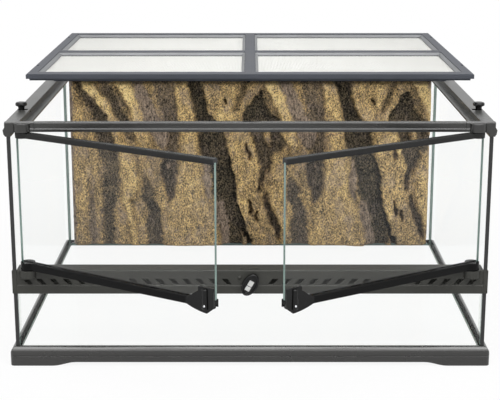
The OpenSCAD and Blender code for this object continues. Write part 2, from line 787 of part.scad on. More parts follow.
module door_handle(side) {
    color(rail_black) on_hinge(side) {
        run_y(-handle_front, -handle_back) handle_outline();
        run_y(-handle_back, -rail_d / 2) intersection() {
            handle_outline();
            translate([handle_end - handle_w + 6, door_z0 + 1.5])
                square([cap_start - handle_end + handle_w - 6.3, low_rail_h - 3]);
        }
        run_y(-handle_back, -pane_t / 2 - pane_fit) intersection() {
            handle_outline();
            translate([handle_end - 22, low_rail_top + 0.3]) square([21, handle_up]);
        }
        translate([rib_s, -handle_front + 0.1, door_z0 - 3])
            cylinder(handle_up + 0.5, r = rib_r);
    }
}

module hinge_pins(side) {
    low_z = door_z0 - door_gap - pin_reach;
    high_z = door_z1 + door_gap + pin_reach;
    color(steel) on_hinge(side) {
        translate([0, 0, low_z]) cylinder(glass_z0 - 0.7 - low_z, r = pin_r);
        translate([0, 0, glass_z1 + 0.6]) cylinder(high_z - glass_z1 - 0.6, r = pin_r);
    }
}

// ---- Lock, drawn about its own axis, which runs along Y ----

module on_lock() {
    in_tank() translate([0, 0, lock_z]) rotate([0, knob_lean, 0]) children();
}

module lock_knob() {
    rim = 2.2;
    color(rail_black) on_lock() difference() {
        union() {
            run_y(knob_back - knob_t + 1, knob_back) polygon(oval(knob_l, knob_w, 48));
            run_y(knob_back - knob_t, knob_back) polygon(oval(knob_l - 1.6, knob_w - 1.6, 48));
        }
        run_y(knob_back - knob_t - 1, knob_back - knob_t + 2.6)
            polygon(oval(knob_l - 2 * rim, knob_w - 2 * rim, 48));
    }
}

// Plain pale mark in the knob's hollow that shows which way it points
module lock_badge() {
    y0 = knob_back - knob_t + 2.6;
    color(badge_white) on_lock() {
        block([-3.1, y0 - 0.9, -8.5], [3.1, y0, -2.7]);
        block([-3.1, y0 - 0.9, -1.7], [3.1, y0, 5.6]);
    }
}

module lock_spindle() {
    color(steel) on_lock() rotate([-90, 0, 0]) translate([0, 0, knob_back])
        cylinder(cam_front + cam_t + nut_t - knob_back, r = spindle_r);
}

// The lobe is turned back by lock_turn, so that it stands up through the shelf when locked
module lock_cam() {
    color(steel) on_lock() rotate([0, -knob_lean - lock_turn, 0]) difference() {
        run_y(cam_front, cam_front + cam_t) {
            circle(cam_hub_r);
            intersection() {
                circle(cam_reach, $fn = 96);
                translate([-lobe_half, 0]) square([2 * lobe_half, cam_reach + 1]);
            }
        }
        translate([0, cam_front - 1, 0]) rotate([-90, 0, 0])
            cylinder(cam_t + 2, r = spindle_r + fixed_fit);
    }
}

module lock_nut() {
    color(steel) on_lock() rotate([-90, 0, 0]) translate([0, 0, cam_front + cam_t]) difference() {
        cylinder(nut_t, r = nut_r, $fn = 6);
        translate([0, 0, -1]) cylinder(nut_t + 2, r = spindle_r + fixed_fit);
    }
}

// ---- Lid, drawn on its seat and then raised ----

module on_lid() {
    in_tank() translate([0, lid_raise, lid_raise]) children();
}

// Calls its children once for each of the four windows, as a rectangle shrunk by inset
module window_rects(inset) {
    for (y = [[front_win_y0, front_win_y1], [rear_win_y0, rear_win_y1]])
        for (x = [[-win_x1, -win_x0], [win_x0, win_x1]])
            translate([x[0] + inset, y[0] + inset])
                square([x[1] - x[0] - 2 * inset, y[1] - y[0] - 2 * inset]);
}

module lid_frame() {
    color(lid_grey) on_lid() difference() {
        union() {
            translate([0, 0, seat_z + 2.5]) block([-lid_x, lid_front, 0], [lid_x, lid_back, lid_t - 3.3]);
            translate([0, 0, tank_h - 0.8])
                block([0.8 - lid_x, lid_front + 0.8, 0], [lid_x - 0.8, lid_back - 0.8, 0.8]);
            block([4 - lid_x, lid_front + 3, seat_z], [lid_x - 4, lid_back - 3, seat_z + 2.5]);
            block([rib_in - lid_x, lid_front + 9, seat_z - rib_drop],
                  [lid_x - rib_in, lid_front + 12, seat_z]);
            block([rib_in - lid_x, lid_back - 12, seat_z - rib_drop],
                  [lid_x - rib_in, lid_back - 9, seat_z]);
        }
        translate([0, 0, mesh_z]) linear_extrude(lid_t) window_rects(0);
        translate([0, 0, seat_z - rib_drop - 1]) linear_extrude(lid_t) window_rects(mesh_bead);
        for (side = [LEFT, RIGHT]) on_side(side)
            for (y = [front_latch_y, rear_latch_y])
                block([-lid_x - 1, y - notch_w / 2, tank_h - latch_deep - 0.2],
                      [-lid_x + notch_d, y + notch_w / 2, tank_h + 1]);
    }
}

// One panel of wide mesh, whose border lies under the beads
module lid_mesh(x_side, y0, y1) {
    size = [win_x1 - win_x0 - 2 * mesh_fit, y1 - y0 - 2 * mesh_fit];
    pitch = [(size[0] - 2 * mesh_border + mesh_strand) / mesh_cols,
        (size[1] - 2 * mesh_border + mesh_strand) / mesh_rows];
    color(mesh_pale) on_lid() on_side(x_side) translate([mesh_fit - win_x1, y0 + mesh_fit, mesh_z])
        linear_extrude(mesh_t) difference() {
            square(size);
            for (i = [0:mesh_cols - 1])
                for (j = [0:mesh_rows - 1])
                    translate([mesh_border + i * pitch[0], mesh_border + j * pitch[1]])
                        square([pitch[0] - mesh_strand, pitch[1] - mesh_strand]);
        }
}

// Sloping beads round each window, which clamp the mesh to the frame
module lid_mesh_beads() {
    z0 = mesh_z + mesh_t;
    z1 = tank_h - 0.8;
    section = [[mesh_fit, z0], [mesh_bead, z0], [mesh_bead, z0 + 1.2], [mesh_fit + 0.8, z1], [mesh_fit, z1]];
    color(bead_grey) on_lid()
        for (y = [[front_win_y0, front_win_y1], [rear_win_y0, rear_win_y1]])
            for (side = [LEFT, RIGHT]) on_side(side) intersection() {
                union() {
                    translate([0, y[0], 0]) run_x(-win_x1, -win_x0) polygon(section);
                    translate([0, y[1], 0]) mirror([0, 1, 0]) run_x(-win_x1, -win_x0) polygon(section);
                    translate([-win_x1, 0, 0]) run_y(y[0], y[1]) polygon(section);
                    translate([-win_x0, 0, 0]) mirror([1, 0, 0]) run_y(y[0], y[1]) polygon(section);
                }
                block([mesh_fit - win_x1, y[0] + mesh_fit, z0], [-win_x0 - mesh_fit, y[1] - mesh_fit, z1]);
            }
}

// Slides inward along the rim, so that its tooth lies over a notch in the lid
module lid_latch(y) {
    z0 = tank_h - latch_deep + latch_fit;
    z1 = tank_h + button_h;
    color(rail_black) in_tank() translate([-latch_x, y, 0]) {
        block([-flange_l / 2, -flange_w / 2, z0], [flange_l / 2, flange_w / 2, z0 + flange_t]);
        block([0, -tooth_w / 2, z0], [flange_l / 2 + tooth_len, tooth_w / 2, z0 + flange_t]);
        translate([0, 0, z0]) cylinder(z1 - 4 - z0, d = flange_l);
        translate([0, 0, z1 - 5.5]) cylinder(1.5, d1 = flange_l, d2 = button_d);
        translate([0, 0, z1 - 4]) cylinder(3, d = button_d);
        translate([0, 0, z1 - 1]) cylinder(1, d1 = button_d, d2 = button_d - 2);
    }
}

base_frame();
floor_glass();
window_glass();
back_glass();
on_side(LEFT) side_glass();  // side_glass_left
on_side(RIGHT) side_glass();  // side_glass_right
on_side(LEFT) edge_trim();  // edge_trim_left
on_side(RIGHT) edge_trim();  // edge_trim_right
silicone_seams();
vent_strip();
on_side(LEFT) vent_end_cap();  // vent_end_cap_left
on_side(RIGHT) vent_end_cap();  // vent_end_cap_right
top_front_bar();
on_side(LEFT) top_corner();  // top_corner_left
on_side(RIGHT) top_corner();  // top_corner_right
on_side(LEFT) top_side_rail();  // top_side_rail_left
on_side(RIGHT) top_side_rail();  // top_side_rail_right
top_rear_deck();
rock_background();
on_side(LEFT) inlet_cover();  // inlet_cover_left
on_side(RIGHT) inlet_cover();  // inlet_cover_right
door_glass(LEFT);  // door_glass_left
door_glass(RIGHT);  // door_glass_right
door_top_rail(LEFT);  // door_top_rail_left
door_top_rail(RIGHT);  // door_top_rail_right
door_bottom_rail(LEFT);  // door_bottom_rail_left
door_bottom_rail(RIGHT);  // door_bottom_rail_right
door_corner_cap(LEFT);  // door_corner_cap_left
door_corner_cap(RIGHT);  // door_corner_cap_right
door_handle(LEFT);  // door_handle_left
door_handle(RIGHT);  // door_handle_right
hinge_pins(LEFT);  // hinge_pins_left
hinge_pins(RIGHT);  // hinge_pins_right
lock_knob();
lock_badge();
lock_spindle();
lock_cam();
lock_nut();
lid_frame();
lid_mesh_beads();
lid_mesh(LEFT, front_win_y0, front_win_y1);  // lid_mesh_front_left
lid_mesh(RIGHT, front_win_y0, front_win_y1);  // lid_mesh_front_right
lid_mesh(LEFT, rear_win_y0, rear_win_y1);  // lid_mesh_rear_left
lid_mesh(RIGHT, rear_win_y0, rear_win_y1);  // lid_mesh_rear_right
on_side(LEFT) lid_latch(front_latch_y);  // lid_latch_front_left
on_side(RIGHT) lid_latch(front_latch_y);  // lid_latch_front_right
on_side(LEFT) lid_latch(rear_latch_y);  // lid_latch_rear_left
on_side(RIGHT) lid_latch(rear_latch_y);  // lid_latch_rear_right
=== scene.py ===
# %% [markdown]
# # A glass reptile terrarium
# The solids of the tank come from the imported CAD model: frames, panes, doors and lid already
# have their true sizes. This lesson gives every solid a finish, and rebuilds the pieces that
# live by fine detail: the rock relief, the woven lid mesh, the panes with their ground edges,
# the lock knob, the door handles and the lid latches.

import json
import math

import bmesh
import bpy
import numpy as np
from mathutils import Matrix, Vector, noise


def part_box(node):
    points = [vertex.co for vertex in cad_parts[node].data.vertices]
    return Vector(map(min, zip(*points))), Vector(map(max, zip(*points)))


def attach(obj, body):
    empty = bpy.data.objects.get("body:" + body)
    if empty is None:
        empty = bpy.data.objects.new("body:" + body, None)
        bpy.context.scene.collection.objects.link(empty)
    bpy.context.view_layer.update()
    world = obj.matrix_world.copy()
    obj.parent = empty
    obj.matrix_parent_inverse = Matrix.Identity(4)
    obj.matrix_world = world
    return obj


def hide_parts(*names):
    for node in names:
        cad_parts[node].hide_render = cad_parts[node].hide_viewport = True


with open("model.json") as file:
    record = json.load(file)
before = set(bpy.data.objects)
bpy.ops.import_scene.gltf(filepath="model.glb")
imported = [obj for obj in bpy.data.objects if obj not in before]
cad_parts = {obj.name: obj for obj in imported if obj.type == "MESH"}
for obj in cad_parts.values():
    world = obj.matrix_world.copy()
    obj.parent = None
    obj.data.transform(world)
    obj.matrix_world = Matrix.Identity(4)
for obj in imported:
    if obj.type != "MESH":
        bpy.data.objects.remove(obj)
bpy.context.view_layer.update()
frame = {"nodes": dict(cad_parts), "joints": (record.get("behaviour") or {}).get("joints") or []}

# %% [markdown]
# ## Working in millimetres
# Blender counts in metres and the tank was drawn in millimetres, so one factor keeps every
# size readable. Colours are easier to choose as screen values from 0 to 255, but shaders
# want linear light, so a small helper turns one into the other.

# %% Units and colours
MM = 0.001
SIDES = ("left", "right")
ROWS = ("front", "rear")


def screen_colour(red, green, blue):
    def linear(value):
        value /= 255
        return value / 12.92 if value <= 0.04045 else ((value + 0.055) / 1.055) ** 2.4
    return (linear(red), linear(green), linear(blue), 1.0)


def centre_of(node):
    low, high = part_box(node)
    return (low + high) / 2


# %% [markdown]
# ## Small tools for node trees
# Every material starts in the same way and uses the same few nodes. These helpers open a
# material, do one sum, run a value through a colour ramp, spread it over a range and mix two
# shaders. Most return sockets, so that a recipe reads like a formula.

# %% Node helpers
def new_material(name):
    material = bpy.data.materials.new(name)
    material.use_nodes = True
    tree = material.node_tree
    return material, tree.nodes["Principled BSDF"], tree


def math_node(tree, operation, *values):
    node = tree.nodes.new("ShaderNodeMath")
    node.operation = operation
    for socket, value in zip(node.inputs, values):
        if isinstance(value, (int, float)):
            socket.default_value = value
        else:
            tree.links.new(value, socket)
    return node.outputs["Value"]


def colour_ramp(tree, stops, value):
    node = tree.nodes.new("ShaderNodeValToRGB")
    elements = node.color_ramp.elements
    for index, (position, colour) in enumerate((stops[0], stops[-1])):
        elements[index].position = position
        elements[index].color = colour
    for position, colour in stops[1:-1]:
        elements.new(position).color = colour
    tree.links.new(value, node.inputs["Fac"])
    return node.outputs["Color"]


def spread(tree, value, low, high):
    node = tree.nodes.new("ShaderNodeMapRange")
    node.inputs["To Min"].default_value = low
    node.inputs["To Max"].default_value = high
    tree.links.new(value, node.inputs["Value"])
    return node.outputs["Result"]


def mix_to_output(tree, share, first, second, output="Material Output"):
    choose = tree.nodes.new("ShaderNodeMixShader")
    for socket, source in zip(choose.inputs, (share, first, second)):
        tree.links.new(source, socket)
    tree.links.new(choose.outputs["Shader"], tree.nodes[output].inputs["Surface"])


print("node helpers are ready")

# %% [markdown]
# ## A mould's grain, shared by all plastics
# Injection-moulded plastic is never mirror smooth: the steel mould is etched with a fine
# grain, and the gloss drifts a little from place to place. Both effects are wanted in many
# materials, so they are built once as a shader node group. It puts out a fine height for a
# Bump node and slow patches for roughness and tint. Copied nodes would be tedious to tune.

# %% The grain group
# (control, its first value, result, detail)
GRAIN_LAYERS = [("Grain scale", 1500, "Height", 2), ("Patch scale", 14, "Patches", 4)]


def build_grain_group():
    group = bpy.data.node_groups.new("Moulded grain", "ShaderNodeTree")
    for control, scale, result, _ in GRAIN_LAYERS:
        socket = group.interface.new_socket(control, in_out="INPUT", socket_type="NodeSocketFloat")
        socket.default_value = scale
        group.interface.new_socket(result, in_out="OUTPUT", socket_type="NodeSocketFloat")
    entry = group.nodes.new("NodeGroupInput")
    out = group.nodes.new("NodeGroupOutput")
    place = group.nodes.new("ShaderNodeTexCoord")
    for control, _, result, detail in GRAIN_LAYERS:
        texture = group.nodes.new("ShaderNodeTexNoise")
        texture.inputs["Detail"].default_value = detail
        group.links.new(place.outputs["Object"], texture.inputs["Vector"])
        group.links.new(entry.outputs[control], texture.inputs["Scale"])
        group.links.new(texture.outputs["Fac"], out.inputs[result])
    return group


grain_group = build_grain_group()
print(grain_group.name, "has sockets:", len(grain_group.interface.items_tree))

# %% [markdown]
# ## A recipe for plastics
# Every plastic here is a Principled BSDF with a dark base, the grain group in its roughness
# and bump, and a Bevel node under the bump. The Bevel node bends the shading normal close to
# an edge, so the moulding's sharp CAD edges catch a thin line of light as real ones do.
# Real bevels would need new geometry on dozens of solids for the same look at this distance.

# %% The plastic maker
PATCH_TINT = 0.14
PATCH_EDGES = (0.25, 0.75)
GRAIN_DEPTH = 0.2 * MM
EDGE_SAMPLES = 4
COAT_ROUGHNESS = 0.12


def plastic(name, colour, rough, drift=0.12, bump=0.12, grain=1500, edge=0.6, gloss=0.5, coat=0.0):
    material, shader, tree = new_material(name)
    shader.inputs["Specular IOR Level"].default_value = gloss
    shader.inputs["Coat Weight"].default_value = coat
    shader.inputs["Coat Roughness"].default_value = COAT_ROUGHNESS
    grains = tree.nodes.new("ShaderNodeGroup")
    grains.node_tree = grain_group
    grains.inputs["Grain scale"].default_value = grain
    patches = grains.outputs["Patches"]
    shades = [[c * (1 + change) for c in colour[:3]] + [1] for change in (-PATCH_TINT, PATCH_TINT)]
    tint = colour_ramp(tree, list(zip(PATCH_EDGES, shades)), patches)
    tree.links.new(tint, shader.inputs["Base Color"])
    roughness = spread(tree, patches, rough - drift / 2, rough + drift / 2)
    tree.links.new(roughness, shader.inputs["Roughness"])
    soft_edge = tree.nodes.new("ShaderNodeBevel")
    soft_edge.samples = EDGE_SAMPLES
    soft_edge.inputs["Radius"].default_value = edge * MM
    relief = tree.nodes.new("ShaderNodeBump")
    relief.inputs["Strength"].default_value = bump
    relief.inputs["Distance"].default_value = GRAIN_DEPTH
    tree.links.new(grains.outputs["Height"], relief.inputs["Height"])
    tree.links.new(soft_edge.outputs["Normal"], relief.inputs["Normal"])
    tree.links.new(relief.outputs["Normal"], shader.inputs["Normal"])
    return material


frame_plastic = plastic("Frame plastic", screen_colour(30, 29, 27), rough=0.27, edge=0.9, gloss=0.7)
bar_plastic = plastic("Bar plastic", screen_colour(32, 31, 29), rough=0.25, edge=1.8, gloss=0.7)
# the rims and rear deck are the frame's dark plastic, painted lighter as the sheen of their upper faces
rim_sheen_painted_plastic = plastic("Rim plastic with painted sheen", screen_colour(70, 70, 68), rough=0.32)
strip_plastic = plastic("Strip plastic", screen_colour(53, 53, 49), rough=0.45, edge=1.4, gloss=0.28)
rail_plastic = plastic("Rail plastic", screen_colour(10, 10, 10), rough=0.25, grain=2200, gloss=0.12)
# the top rails are the bottom rails' black plastic, painted lighter as the sheen of their upper faces
upper_rail_sheen_painted_plastic = plastic("Upper rail plastic with painted sheen", screen_colour(22, 22, 21), rough=0.24, grain=2200,
                             edge=0.9, gloss=0.3)
lid_plastic = plastic("Lid plastic", screen_colour(66, 69, 76), rough=0.5, gloss=0.25)
bead_plastic = plastic("Bead plastic", screen_colour(120, 122, 124), rough=0.45)
handle_plastic = plastic("Handle plastic", screen_colour(12, 12, 12), rough=0.25, drift=0.05,
                         bump=0.03, edge=0.3, gloss=0.1, coat=0.35)
seal_rubber = plastic("Seal rubber", screen_colour(22, 22, 23), rough=0.5, grain=700, edge=0.2)
print("plastics:", [m.name for m in bpy.data.materials if "plastic" in m.name])

# %% [markdown]
# ## Glass that lets the lamps through
# Full transmission is how glass works, but path tracing sends little lamp light through it
# and the inside of the tank would turn dark and noisy. A flat pane hardly bends light, so a
# Transparent BSDF does as well, with a mirror mixed over it by Fresnel. Only the side where
# light enters gets the mirror. Each pane has its own share of it, because the low panes
# should stay quiet and the doors are clean enough to gleam. The clear silicone in the seams
# is the same recipe with a slight grey tint. The ground edges of float glass look teal and
# cloudy because one looks along the sheet, so they get their own finish.

# %% Glass, silicone and ground edge
GLASS_IOR = 1.45
GLASS_TINT = (0.992, 0.995, 0.993, 1)
SILICONE_TINT = (0.94, 0.95, 0.94, 1)


def clear_glass(name, mirror, tint=GLASS_TINT):
    material, shader, tree = new_material(name)
    shader.inputs["Base Color"].default_value = (1, 1, 1, 1)
    shader.inputs["Metallic"].default_value = 1.0
    shader.inputs["Roughness"].default_value = 0.0
    through = tree.nodes.new("ShaderNodeBsdfTransparent")
    through.inputs["Color"].default_value = tint
    fresnel = tree.nodes.new("ShaderNodeFresnel")
    fresnel.inputs["IOR"].default_value = GLASS_IOR
    sides = tree.nodes.new("ShaderNodeNewGeometry")
    entering = math_node(tree, "SUBTRACT", 1.0, sides.outputs["Backfacing"])
    share = math_node(tree, "MULTIPLY", fresnel.outputs["Fac"], entering)
    share = math_node(tree, "MULTIPLY", share, mirror)
    mix_to_output(tree, share, through.outputs["BSDF"], shader.outputs["BSDF"])
    return material


door_glass = clear_glass("Door glass", mirror=0.65)
front_glass = clear_glass("Front glass", mirror=0.3)
side_glass = clear_glass("Side glass", mirror=0.12)
floor_glass = clear_glass("Floor glass", mirror=0.1)
clear_silicone = clear_glass("Clear silicone", mirror=0.2, tint=SILICONE_TINT)
edge_glass = plastic("Ground glass edge", screen_colour(128, 150, 143), rough=0.3, drift=0.1,
                     bump=0.05, grain=3000, edge=0.2)
print("materials so far:", len(bpy.data.materials))

# %% [markdown]
# ## Turned and drawn metal
# The hinge pins, the lock's spindle and cam and the lid's woven wire are steel. Turning
# leaves rings round a pin and drawing leaves lines along a wire; both are far finer than a
# pixel here, so a stretched noise in the roughness is enough. The wire's reflection of the
# white surround is painted into its colour instead: a matt pale grey, so its Metallic is 0.

# %% Steel and wire
STREAK_SCALE = 500
STREAK_STRETCH = (1, 1, 12)
STREAK_DRIFT = 0.08


def metal(name, colour, rough, metallic=1.0):
    material, shader, tree = new_material(name)
    shader.inputs["Base Color"].default_value = colour
    shader.inputs["Metallic"].default_value = metallic
    place = tree.nodes.new("ShaderNodeTexCoord")
    stretch = tree.nodes.new("ShaderNodeMapping")
    stretch.inputs["Scale"].default_value = STREAK_STRETCH
    streaks = tree.nodes.new("ShaderNodeTexNoise")
    streaks.inputs["Scale"].default_value = STREAK_SCALE
    tree.links.new(place.outputs["Object"], stretch.inputs["Vector"])
    tree.links.new(stretch.outputs["Vector"], streaks.inputs["Vector"])
    roughness = spread(tree, streaks.outputs["Fac"], rough - STREAK_DRIFT, rough + STREAK_DRIFT)
    tree.links.new(roughness, shader.inputs["Roughness"])
    return material


turned_steel = metal("Turned steel", screen_colour(190, 191, 193), rough=0.3)
# the wire's pale grey is a painted reflection of the white surround
reflection_painted_wire = metal("Mesh wire, painted reflection", screen_colour(232, 232, 228), rough=0.5, metallic=0.0)
badge_print = plastic("Badge print", screen_colour(205, 205, 203), rough=0.4, edge=0.2)
print("metals:", turned_steel.name, "and", reflection_painted_wire.name)

# %% [markdown]
# ## Dressing the CAD solids
# A solid whose shape is right only needs its finish. The table names the solids of each
# finish by the start of their names, so that left and right need no rows of their own.

# %% Assign the finishes
FINISHES = {
    "base_frame": frame_plastic, "top_front_bar": bar_plastic, "top_corner": frame_plastic,
    "inlet_cover": frame_plastic, "top_side_rail": rim_sheen_painted_plastic, "top_rear_deck": rim_sheen_painted_plastic,
    "vent_": strip_plastic, "door_top_rail": upper_rail_sheen_painted_plastic, "door_bottom_rail": rail_plastic,
    "door_corner_cap": rail_plastic, "hinge_pins": turned_steel, "lock_spindle": turned_steel,
    "lock_cam": turned_steel, "lock_nut": turned_steel, "lock_badge": badge_print,
    "edge_trim": seal_rubber, "silicone_seams": clear_silicone,
    "lid_frame": lid_plastic, "lid_mesh_beads": bead_plastic,
}
dressed = []
for start, finish in FINISHES.items():
    for name, solid in frame["nodes"].items():
        if name.startswith(start):
            solid.data.materials.clear()
            solid.data.materials.append(finish)
            dressed.append(name)
print("dressed solids:", len(dressed))

# %% [markdown]
# ## Small tools for new pieces
# A new piece is a bmesh that becomes an object at the origin, with its place in its mesh.
# It rides on the body that carries it, stands for the CAD solids that it replaces, and takes
# its finishes as materials.

# %% From bmesh to piece
def mesh_object(name, bm, materials):
    mesh = bpy.data.meshes.new(name)
    bm.to_mesh(mesh)
    bm.free()
    for material in materials:
        mesh.materials.append(material)
    thing = bpy.data.objects.new(name, mesh)
    bpy.context.scene.collection.objects.link(thing)
    return thing


def make_piece(name, bm, materials, body, replaced, smooth_angle=35):
    bmesh.ops.recalc_face_normals(bm, faces=bm.faces)
    piece = mesh_object(name, bm, materials)
    mesh = piece.data
    if smooth_angle:
        mesh.set_sharp_from_angle(angle=math.radians(smooth_angle))
        mesh.polygons.foreach_set("use_smooth", [True] * len(mesh.polygons))
    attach(piece, body)
    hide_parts(*replaced)
    print(name, "faces:", len(mesh.polygons))


def block(bm, low, high):
    size = Vector(high) - Vector(low)
    middle = (Vector(high) + Vector(low)) / 2
    bmesh.ops.create_cube(bm, size=1, matrix=Matrix.Translation(middle) @ Matrix.Diagonal((*size, 1)))


def round_edges(bm, edges, width, segments):
    bmesh.ops.bevel(bm, geom=edges, offset=width, offset_type="OFFSET", segments=segments,
                    profile=0.5, affect="EDGES", clamp_overlap=True, material=-1)


def verts_of(geometry):
    return [item for item in geometry if isinstance(item, bmesh.types.BMVert)]


# %% [markdown]
# ## Panes with ground edges
# Each pane starts as a merged copy of its CAD solid, so the notch for a door's corner cap
# comes along. Limited dissolve joins the triangles of each flat side, a small bevel makes
# the ground edge, and every face that doesn't look across the pane gets the cloudy finish.

# %% The panes
PANES = {"floor_glass": ("tank", floor_glass), "window_glass": ("tank", front_glass),
         "back_glass": ("tank", front_glass),
         "side_glass_left": ("tank", side_glass), "side_glass_right": ("tank", side_glass),
         "door_glass_left": ("door_left", door_glass), "door_glass_right": ("door_right", door_glass)}
GROUND_EDGE = 0.35 * MM
WELD = 0.005 * MM
FLAT = math.radians(1)
LOOKS_ACROSS = 0.9


def ground_pane(node, body, clear):
    bm = bmesh.new()
    bm.from_mesh(frame["nodes"][node].data)
    bmesh.ops.remove_doubles(bm, verts=bm.verts, dist=WELD)
    bmesh.ops.dissolve_limit(bm, angle_limit=FLAT, verts=bm.verts, edges=bm.edges)
    across = max(bm.faces, key=lambda face: face.calc_area()).normal.copy()
    round_edges(bm, bm.edges[:], GROUND_EDGE, segments=1)
    for face in bm.faces:
        face.material_index = 0 if abs(face.normal.dot(across)) > LOOKS_ACROSS else 1
    make_piece(node.replace("glass", "pane"), bm, [clear, edge_glass], body, [node], None)


for node, (body, clear) in PANES.items():
    ground_pane(node, body, clear)

# %% [markdown]
# ## The rock relief: the strokes that make it
# The background is a moulded foam panel painted as sandstone. Long ridges run down it and
# lean to the right, with deep hollows between them, and the mould repeats after a while.
# It is easiest to build as a painter would: broad strokes first, finer ones over them. Each
# stroke is a line of points with a half width and a tone, and it lifts or sinks the surface
# under it. Pure noise would be quicker, but it can't be steered like this.

# %% Strokes of the left end
# (rise, dusk, softness, [(across, up, half width, tone), ...]), in mm from the panel's left foot
ROCK_REPEAT = 234.5
LEFT_STROKES = [
    (0.10, 0.2, 9, [(13, 299, 4, 0.16), (22, 276, 7, 0.14), (39, 254, 9, 0.14), (50, 239, 10, 0.15),
                    (55, 214, 13, 0.17), (61, 186, 16, 0.20), (65, 161, 13, 0.18), (64, 126, 13, 0.16),
                    (61, 95, 10, 0.16), (58, 64, 9, 0.16), (60, 22, 9, 0.16)]),
    (0.35, 0.2, 7, [(54, 299, 8, 0.34), (66, 274, 8, 0.16), (80, 249, 8, 0.12), (92, 219, 8, 0.18),
                    (101, 202, 6, 0.26)]),
    (0.95, 0, 4, [(28, 299, 8, 0.93), (41, 280, 7, 0.95), (57, 260, 6.5, 0.93), (67, 241, 6, 0.86),
                  (73, 219, 5.6, 0.72), (77, 204, 5.5, 0.66), (86, 184, 9, 0.70), (94, 161, 13, 0.72),
                  (95, 136, 13, 0.70), (98, 118, 10, 0.62), (100, 108, 6, 0.58)]),
    (0.95, 0, 3, [(89, 118, 6, 0.72), (90, 95, 5.5, 0.74), (93, 79, 5, 0.74), (99, 62, 4.5, 0.70),
                  (102, 35, 6, 0.64), (102, 22, 7, 0.62)]),
    (0.25, 0.6, 6, [(33, 116, 3, 0.34), (32, 80, 5, 0.30), (34, 40, 6, 0.26), (33, 22, 6, 0.28)]),
    (0.70, 0, 5, [(29, 150, 5, 0.66), (28, 120, 3, 0.60), (24, 96, 4, 0.56)]),
    # the rounded left edge, painted in cold shade
    (0.10, 1, 1.5, [(2, 299, 4.5, 0.34), (2, 21, 4.5, 0.30)]),
    # a painted highlight where that edge turns to the front
    (0.55, 0, 1, [(6.4, 299, 1.0, 0.66), (6.4, 180, 0.8, 0.58), (6.8, 21, 0.8, 0.42)]),
]

